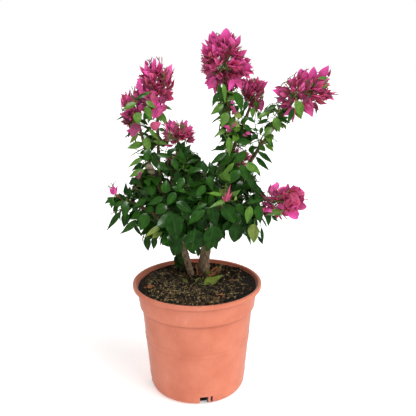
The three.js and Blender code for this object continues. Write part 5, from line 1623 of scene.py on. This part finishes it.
# Each leaf's tone: the score grows with the height and strays by spray and, less, by leaf
def leafTones(seed, leaves):
    start, rise = leafLook["fresh"]
    fresh = np.clip((leaves["base"][:, 2] - start) / rise, 0, 1)
    draw = chance(seed, leafRule["draws"]["tone"] + leaves["spray"])
    draw = draw + leafLook["byLeaf"] * (leaves["draw"] - 0.5)
    score = fresh + leafLook["bySpray"] * (draw - 0.5)
    return np.digitize(score, leafLook["limits"])


# Stalks of the chosen leaves from the nearest point of a twig or limb, and which take the darker skin of
# painted shade: those far from their twig
def heroPetioles(heroes):
    rule = petioleRule
    twigPoints = [part.reshape(-1, 3) for pair in grownTwigs.values() for part in pair]
    twigPoints = np.concatenate([*twigPoints, limbPoints])
    base = heroes["base"]
    nearest = np.linalg.norm(base[:, None] - twigPoints, axis=-1).argmin(axis=1)
    ahead = unit(heroes["forward"])
    gap = np.linalg.norm(twigPoints[nearest] - base, axis=1)
    limit, share = rule["behind"]
    behind = np.maximum(gap - limit, 0)[:, None] * [0, share, 0]
    lead = base - ahead * rule["heroLead"] + up * rule["heroRise"] + behind
    return bends(twigPoints[nearest], lead, base + ahead * rule["sunk"], 4), gap > rule["shadedFrom"]


# Leaves and their stalks, the grown ones and the chosen ones
def makeLeaves(grown):
    skins = []
    petioles = []
    for seed, leaves in grown:
        skins.append(bladeSkin(leaves, leafShape, bothSides(leafTones(seed, leaves))))
        lead = leaves["base"] - leaves["forward"] * (petioleRule["lead"] * leaves["length"])[:, None]
        end = leaves["base"] + petioleRule["sunk"] * leaves["forward"]
        petioles.append(bends(leaves["twigPoint"], lead, end, 4))
    heroes = chosenBlades(heroLeaves, leafLook["heroSeed"])
    folded = {**leafShape, "fold": leafLook["heroFold"]}
    skins.append(bladeSkin(heroes, folded, bothSides(heroes["tone"])))
    heroPaths, shaded = heroPetioles(heroes)
    materials = [leafMaterial(*tone) for tone in leafLook["tones"]]
    makePiece("leaves", skins, materials, list(foliagePlan), 75)
    paths = np.concatenate([*petioles, heroPaths])
    slots = np.concatenate([np.zeros(len(paths) - len(shaded), int), shaded.astype(int)])
    skin = alikeTubes(paths, petioleRule["radii"], 5, slots)
    makePiece("petioles", [skin], [greenShoot, shadedShoot], (), 80)


# The fine twigs of a flower head that bear leaves: its lowest share
def greenTwigs(mass):
    fine = grownTwigs[mass["name"]][1]
    order = fine[:, -1, 2].argsort()
    return fine[order[:int(mass["green"] * len(fine))]]


grownTwigs = {mass["name"]: growTwigs(mass) for mass in masses}
grownLeaves = []
for mass in masses:
    if mass["kind"] == "foliage":
        main, fine = grownTwigs[mass["name"]]
        leaves = growLeaves(mass, fine)
        grownLeaves.append((mass["seed"], leaves))
        grownTwigs[mass["name"]] = (main, fine[np.unique(leaves["spray"])])
grownLeaves += [(mass["seed"], growLeaves(mass, greenTwigs(mass))) for mass in masses
                if "green" in mass]
grownLeaves += [(800 + i, growShootLeaves(name, i)) for i, name in enumerate(limbPlan)
                if "parent" in limbPlan[name]]
print("leaves grown:", sum(len(leaves["base"]) for _, leaves in grownLeaves))
makeLeaves(grownLeaves)

# Bracts and flowers

bractShape = {
    "stations": (0.05, 0.2, 0.42, 0.66, 0.88),
    "width": (0.56, 0.78),
    "outline": ((0.62, 0.46), (1.2, 0.8)),
    "fold": 0.1,
    "cup": 0.3,
    "curl": -0.16,
    "wave": 0.16,
    "waves": 1.3,
    "twist": 0.3,
    "sway": 0.06,
    "thickness": 0.3,
}
bloomLook = {
    # The last four are darker copies of the first four for the chosen bracts: painted shade on bracts set
    # to face the viewer and the light
    "bracts": (  # name, dark, plain, vein, roughness, tip; the chosen ones take the last four
        ("deepMagentaBract", "#9a3458", "#b5486c", "#c86084", 0.62, "#ca4e80"),
        ("magentaBract", "#c24878", "#d45a88", "#e0789e", 0.6, "#ec62a6"),
        ("brightBract", "#dc5496", "#ee66a8", "#f486ba", 0.58, "#ff66c8"),
        ("rosyBract", "#c44e6c", "#d8607e", "#e68296", 0.6, "#ee66a4"),
        ("shadedFacingBract", "#812650", "#a23c6c", "#b85480", 0.62, "#b04078"),
        ("paintedShadeMagentaBract", "#ac3270", "#cc4c88", "#d86a9a", 0.6, "#dc4a9a"),
        ("paintedShadeBrightBract", "#cc3a8c", "#ea52a6", "#f070b4", 0.58, "#fa56c0"),
        ("paintedShadeRosyBract", "#b03c62", "#cc5478", "#d87490", 0.6, "#dc5490"),
    ),
    "tubes": (
        ("duskyFlowerTube", "#5e2038", "#8c3454", "#b0506e", 0.6),
        ("greenFlowerTube", "#5a3a30", "#7e5640", "#a07c58", 0.6),
        ("redFlowerTube", "#a32440", "#c83a52", "#df6a6c", 0.55),
    ),
    # the height and distance parts of the brightness are painted light on the top and outside of a head;
    # the chance part is the bracts' own colour
    "bright": (0.6, 0.4, 0.8),  # by height, by chance, and by the distance from the heart
    "limits": (0.14, 0.5),  # scores where the second and third tone begin
    "rosy": 0.12,  # share of the rosy ones
    "rosyAgain": 13,
    "tubeLimits": (0.7, 0.85),
    "heroFirst": 4,
    "heroSeed": 88,
}


# Triads by the source's rule: three bracts a third of a turn apart lean out round the axis and face
# it, and three flower tubes stand inside them
def growTriads(mass, fine):
    rule, draws, seed = bloomRule, bloomRule["draws"], mass["seed"]
    centre = fine[:, -1]
    axis = unit(rule["along"] * unit(fine[:, -1] - fine[:, -3]) + outwardAt(mass, centre))
    slot = np.arange(len(fine))
    order = slot[:, None] * 3 + np.arange(3)
    turn = (2 * np.pi * chance(seed, draws["turn"] + slot))[:, None] + np.arange(3) * 2 * np.pi / 3
    frames = acrossFrames(axis)
    away = around(turn, *frames)
    opening = mass.get("open", 1)
    least, more = rule["splay"]
    splay = (least + more * chance(seed, draws["splay"] + order)) * opening
    forward = unit(axis[:, None] + away * splay[..., None])
    least, byChance, byHeight = rule["sizes"]
    height = np.clip(((centre - mass["heart"]) / mass["half"])[:, 2:] + rule["rising"], 0, 1)
    size = least + byChance * chance(seed, draws["size"] + order) + byHeight * height
    length = mass["length"] * size * opening
    base = centre[:, None] + away * rule["ring"]
    tips = base + forward * length[..., None]
    keep = inOwnSpace(mass, tips, *rule["bractRoom"]) & offGaps(tips)
    keep &= clearOfLimbs(base + forward * 0.5 * length[..., None])
    least, more = rule["broad"]
    broad = mass.get("broad", least) + more * chance(seed, draws["broad"] + order)
    # Painted light: bracts high in a head and far from its heart take the brighter tones; the chance part
    # and the mass's own share are their own colour
    byHeight, byChance, byDistance = bloomLook["bright"]
    distance = np.linalg.norm((tips - mass["heart"]) / mass["half"], axis=-1)
    bright = (byHeight * height + byChance * chance(seed, draws["bright"] + order)
              + byDistance * distance - byDistance + mass.get("bright", 0))
    bracts = {"base": base, "forward": forward, "facing": -away, "length": length,
              "draw": chance(seed, draws["blade"] + order), "broad": broad, "bright": bright}
    bracts = {key: value[keep] for key, value in bracts.items()}
    lean = rule["tubesLean"] * (0.5 + chance(seed, draws["lean"] + order))
    direction = unit(axis[:, None] + around(turn + rule["tubesTurn"], *frames) * lean[..., None])
    least, more = rule["tubeSizes"]
    tubeLength = mass["length"] * rule["tube"] * (least + more * chance(seed, draws["tube"] + order))
    tubeTips = centre[:, None] + direction * tubeLength[..., None]
    onward, outward = rule["tubeBow"]
    bow = centre[:, None] + (axis[:, None] * onward + away * outward) * tubeLength[..., None]
    paths = bends(np.broadcast_to(centre[:, None], tubeTips.shape), bow, tubeTips, 5)
    keep = inOwnSpace(mass, tubeTips, *rule["tubeRoom"])
    return bracts, paths[keep], chance(seed, draws["tubeTone"] + order)[keep]


# Bracts and flower tubes of the grown heads, and the chosen bracts
def makeBlossom():
    skins = []
    tubeSkins = []
    total = 0
    for mass in masses:
        if mass["kind"] == "foliage" or mass.get("chosen"):
            continue
        bracts, paths, draws = growTriads(mass, grownTwigs[mass["name"]][1])
        rosy = again(bracts["draw"], bloomLook["rosyAgain"]) < mass.get("rosy", bloomLook["rosy"])
        slots = np.where(rosy, 3, np.digitize(bracts["bright"], bloomLook["limits"]))
        skins.append(bladeSkin(bracts, bractShape, slots))
        radii = np.array(bloomRule["tubeSwell"]) * bloomRule["tubeRadius"]
        tubeSkins.append(alikeTubes(paths, radii, 5, np.digitize(draws, bloomLook["tubeLimits"])))
        total += len(bracts["base"])
    heroes = chosenBlades(heroBracts, bloomLook["heroSeed"])
    # the chosen bracts take the darker copies: painted shade
    skins.append(bladeSkin(heroes, bractShape, bloomLook["heroFirst"] + heroes["tone"]))
    print("bracts grown:", total)
    bractMaterials = [leafMaterial(*tone) for tone in bloomLook["bracts"]]
    tubeMaterials = [barkMaterial(*tone) for tone in bloomLook["tubes"]]
    makePiece("bracts", skins, bractMaterials, list(bloomPlan), 75)
    makePiece("flowerTubes", tubeSkins, tubeMaterials, (), 80)


makeBlossom()


# Tapering tubes of one kind of twig: their radii fall in a straight line
def twigTubes(kind, paths, radius, slot):
    taper = np.linspace(1, twigRule["taper"][kind], paths.shape[1])
    return alikeTubes(paths, radius * taper, twigRule["sides"][kind], slot)


# The twigs of all masses: stems and main twigs woody below and green above
def makeTwigs():
    skins = []
    sizes = twigRule["radius"]
    for mass in masses:
        main, fine = grownTwigs[mass["name"]]
        height = mass["heart"][2]
        slot = int(mass["kind"] == "bloom" or height > twigRule["greenAbove"])
        # fine twigs low in the foliage take the darker skin: painted shade
        fineSlot = 2 if mass["kind"] == "foliage" and height < twigRule["shadedBelow"] else 1
        limit = twigRule["limbShare"] * limbPlan[mass["limb"]]["radii"][1]
        stem = evenly(mass["stem"], 14)[None]
        skins.append(twigTubes("stem", stem, min(sizes["stem"], limit), slot))
        if len(main):
            skins.append(twigTubes("twig", main, sizes["twig"], slot))
        if len(fine):
            skins.append(twigTubes("fine", fine, sizes["fine"], fineSlot))
    makePiece("twigs", skins, [shootBark, greenShoot, shadedShoot])


makeTwigs()

# Litter on the mix: a fallen leaf with its stalk, dry scraps and twigs. A scrap is its base, tip,
# facing, breadth and tone, a twig is two ends and a radius, and heights count from the mix.
litter = {
    "fallen": ((14, -12, 2.5), (48, 16, 5), (-0.2, -0.4, 0.9), 0.1, 0),
    "fallenStalk": ((4, 22, 2), (-3, 12, 2), (0, -4, 2), (14, -12, 2.4)),
    "stalkRadii": (1.5, 0.9),
    "scraps": (
        ((-96, -16, 1), (-80, -34, 2.5), (0, -0.3, 1), 0.6, 1),
        ((-88, -12, 1), (-78, -24, 3), (0.5, -0.2, 1), 0.5, 1),
        ((36, -50, 1), (48, -68, 2), (0.2, 0, 1), 0.5, 1),
        ((42, -60, 1), (50, -70, 2), (-0.3, 0, 1), 0.4, 1),
        ((-5, 44, 2), (14, 26, 2), (0.2, -0.5, 0.7), 0.3, 2),
        ((24, 30, 2), (42, 68, 5), (-0.5, -0.5, 0.7), 0.2, 1),
        ((30, 44, 3), (50, 60, 6), (0.3, -0.5, 0.7), 0.1, 2),
        ((60, 4, 1), (71, 12, 2), (0.2, -0.3, 1), 0.6, 2),
        ((-90, 8, 1), (-78, 14, 2.5), (0, -0.4, 1), 0.4, 3),
        ((-84, 20, 1), (-74, 12, 2), (0, -0.4, 1), 0.3, 3),
        ((-20, 4, 1), (-28, 14, 3), (0, -0.4, 1), 0.3, 3),
        ((-14, -14, 1), (-10, -24, 2), (0, -0.4, 1), 0.3, 3),
        ((18, 40, 2), (20, 54, 8), (0.3, -0.8, 0.4), 0.4, 3),
        ((-20, -62, 1), (-12, -70, 1.5), (0, 0.2, 1), 0.8, 2),
        ((30, -76, 1), (38, -68, 1.5), (0.2, 0.1, 1), 0.7, 2),
        ((-62, -40, 1), (-52, -36, 1.5), (0, 0.2, 1), 0.7, 2),
    ),
    "twigs": (
        ((62, 78, 1.5), (86, 50, 2), 0.9), ((30, 40, 2), (50, 82, 5), 0.8),
        ((70, 40, 1.2), (92, 20, 1.2), 0.7), ((-84, 38, 1.2), (-60, 52, 1.5), 0.7),
        ((-50, -80, 1), (-30, -74, 1.2), 0.6), ((-10, -30, 1), (8, -38, 1.2), 0.6),
        ((44, -14, 1), (62, -22, 1.2), 0.6), ((-72, -10, 1), (-52, -18, 1.2), 0.7),
        ((20, -90, 1), (40, -84, 1.2), 0.6), ((66, -66, 1), (84, -48, 1.2), 0.6),
    ),
    "twigBow": (3, 2, 1.5),
    "twigTaper": (1.1, 0.7),
    "dryTwig": ("paleDryTwig", "#6e5a40", "#a08a66", "#c4b08a", 0.85),
    "tones": (
        ("fallenGreenLeaf", "#5f7426", "#7c8e38", "#a9b060", 0.55),
        ("dryOrangeLeaf", "#8a5226", "#b87a44", "#d0a070", 0.8),
        ("dryBrownLeaf", "#4f3420", "#7a5836", "#9c7c54", 0.85),
        ("mossyScrap", "#4d5a22", "#6f7c36", "#8a9450", 0.8),
    ),
    "shape": {**leafShape, "curl": -0.2, "fold": 0.4, "wave": 0.2, "thickness": 0.5},
    "seed": 91,
}


# Places whose height counts from the mix, turned to real heights
def onMix(places):
    places = np.array(places, float)
    places[..., 2] += mixHeight(places[..., 0], places[..., 1])
    return places


# Fallen leaves and scraps, then the fallen leaf's stalk and the dry twigs
def makeLitter():
    scraps = (litter["fallen"], *litter["scraps"])
    base, tip = (onMix([scrap[i] for scrap in scraps]) for i in range(2))
    blades = {"base": base, "forward": tip - base,
              "facing": np.array([scrap[2] for scrap in scraps], float),
              "length": np.linalg.norm(tip - base, axis=1),
              "broad": np.array([scrap[3] for scrap in scraps]),
              "draw": chance(litter["seed"], np.arange(len(scraps)))}
    slots = np.array([scrap[4] for scrap in scraps])
    materials = [leafMaterial(*tone) for tone in litter["tones"]]
    makePiece("fallenLeaves", [bladeSkin(blades, litter["shape"], slots)], materials, (), 75)
    stalk = smoothPath(onMix(litter["fallenStalk"]), 16)[None]
    ends = onMix([twig[:2] for twig in litter["twigs"]])
    paths = bends(ends[:, 0], ends.mean(axis=1) + litter["twigBow"], ends[:, 1], 12)
    radii = np.array([twig[2] for twig in litter["twigs"]])[:, None] * np.linspace(*litter["twigTaper"], 12)
    skins = [tubes(stalk, np.linspace(*litter["stalkRadii"], 16)[None], 8), tubes(paths, radii, 6, 1)]
    makePiece("fallenTwigs", skins, [greenShoot, barkMaterial(*litter["dryTwig"])])


makeLitter()

deadStick = {
    "path": ((1.5, 38, 197), (-0.5, 38.6, 207), (-1.2, 39, 214), (-3, 40, 224)),
    "radii": (1.7, 1.1),
    "rows": 24,
    "uneven": 0.12,
    "skin": ("redBrownDeadWood", "#5d2f1c", "#8d5236", "#ad7752", 0.8),
}


# The dead stick that stands between the stems
def makeDeadStick():
    path = smoothPath(deadStick["path"], deadStick["rows"])[None]
    radii = np.linspace(*deadStick["radii"], deadStick["rows"])
    radii = radii * (1 + deadStick["uneven"] * noise(path[0], 3, 8))
    makePiece("deadStick", [tubes(path, radii[None], 10)], [barkMaterial(*deadStick["skin"])],
              ["dead_twig"], 50)


makeDeadStick()
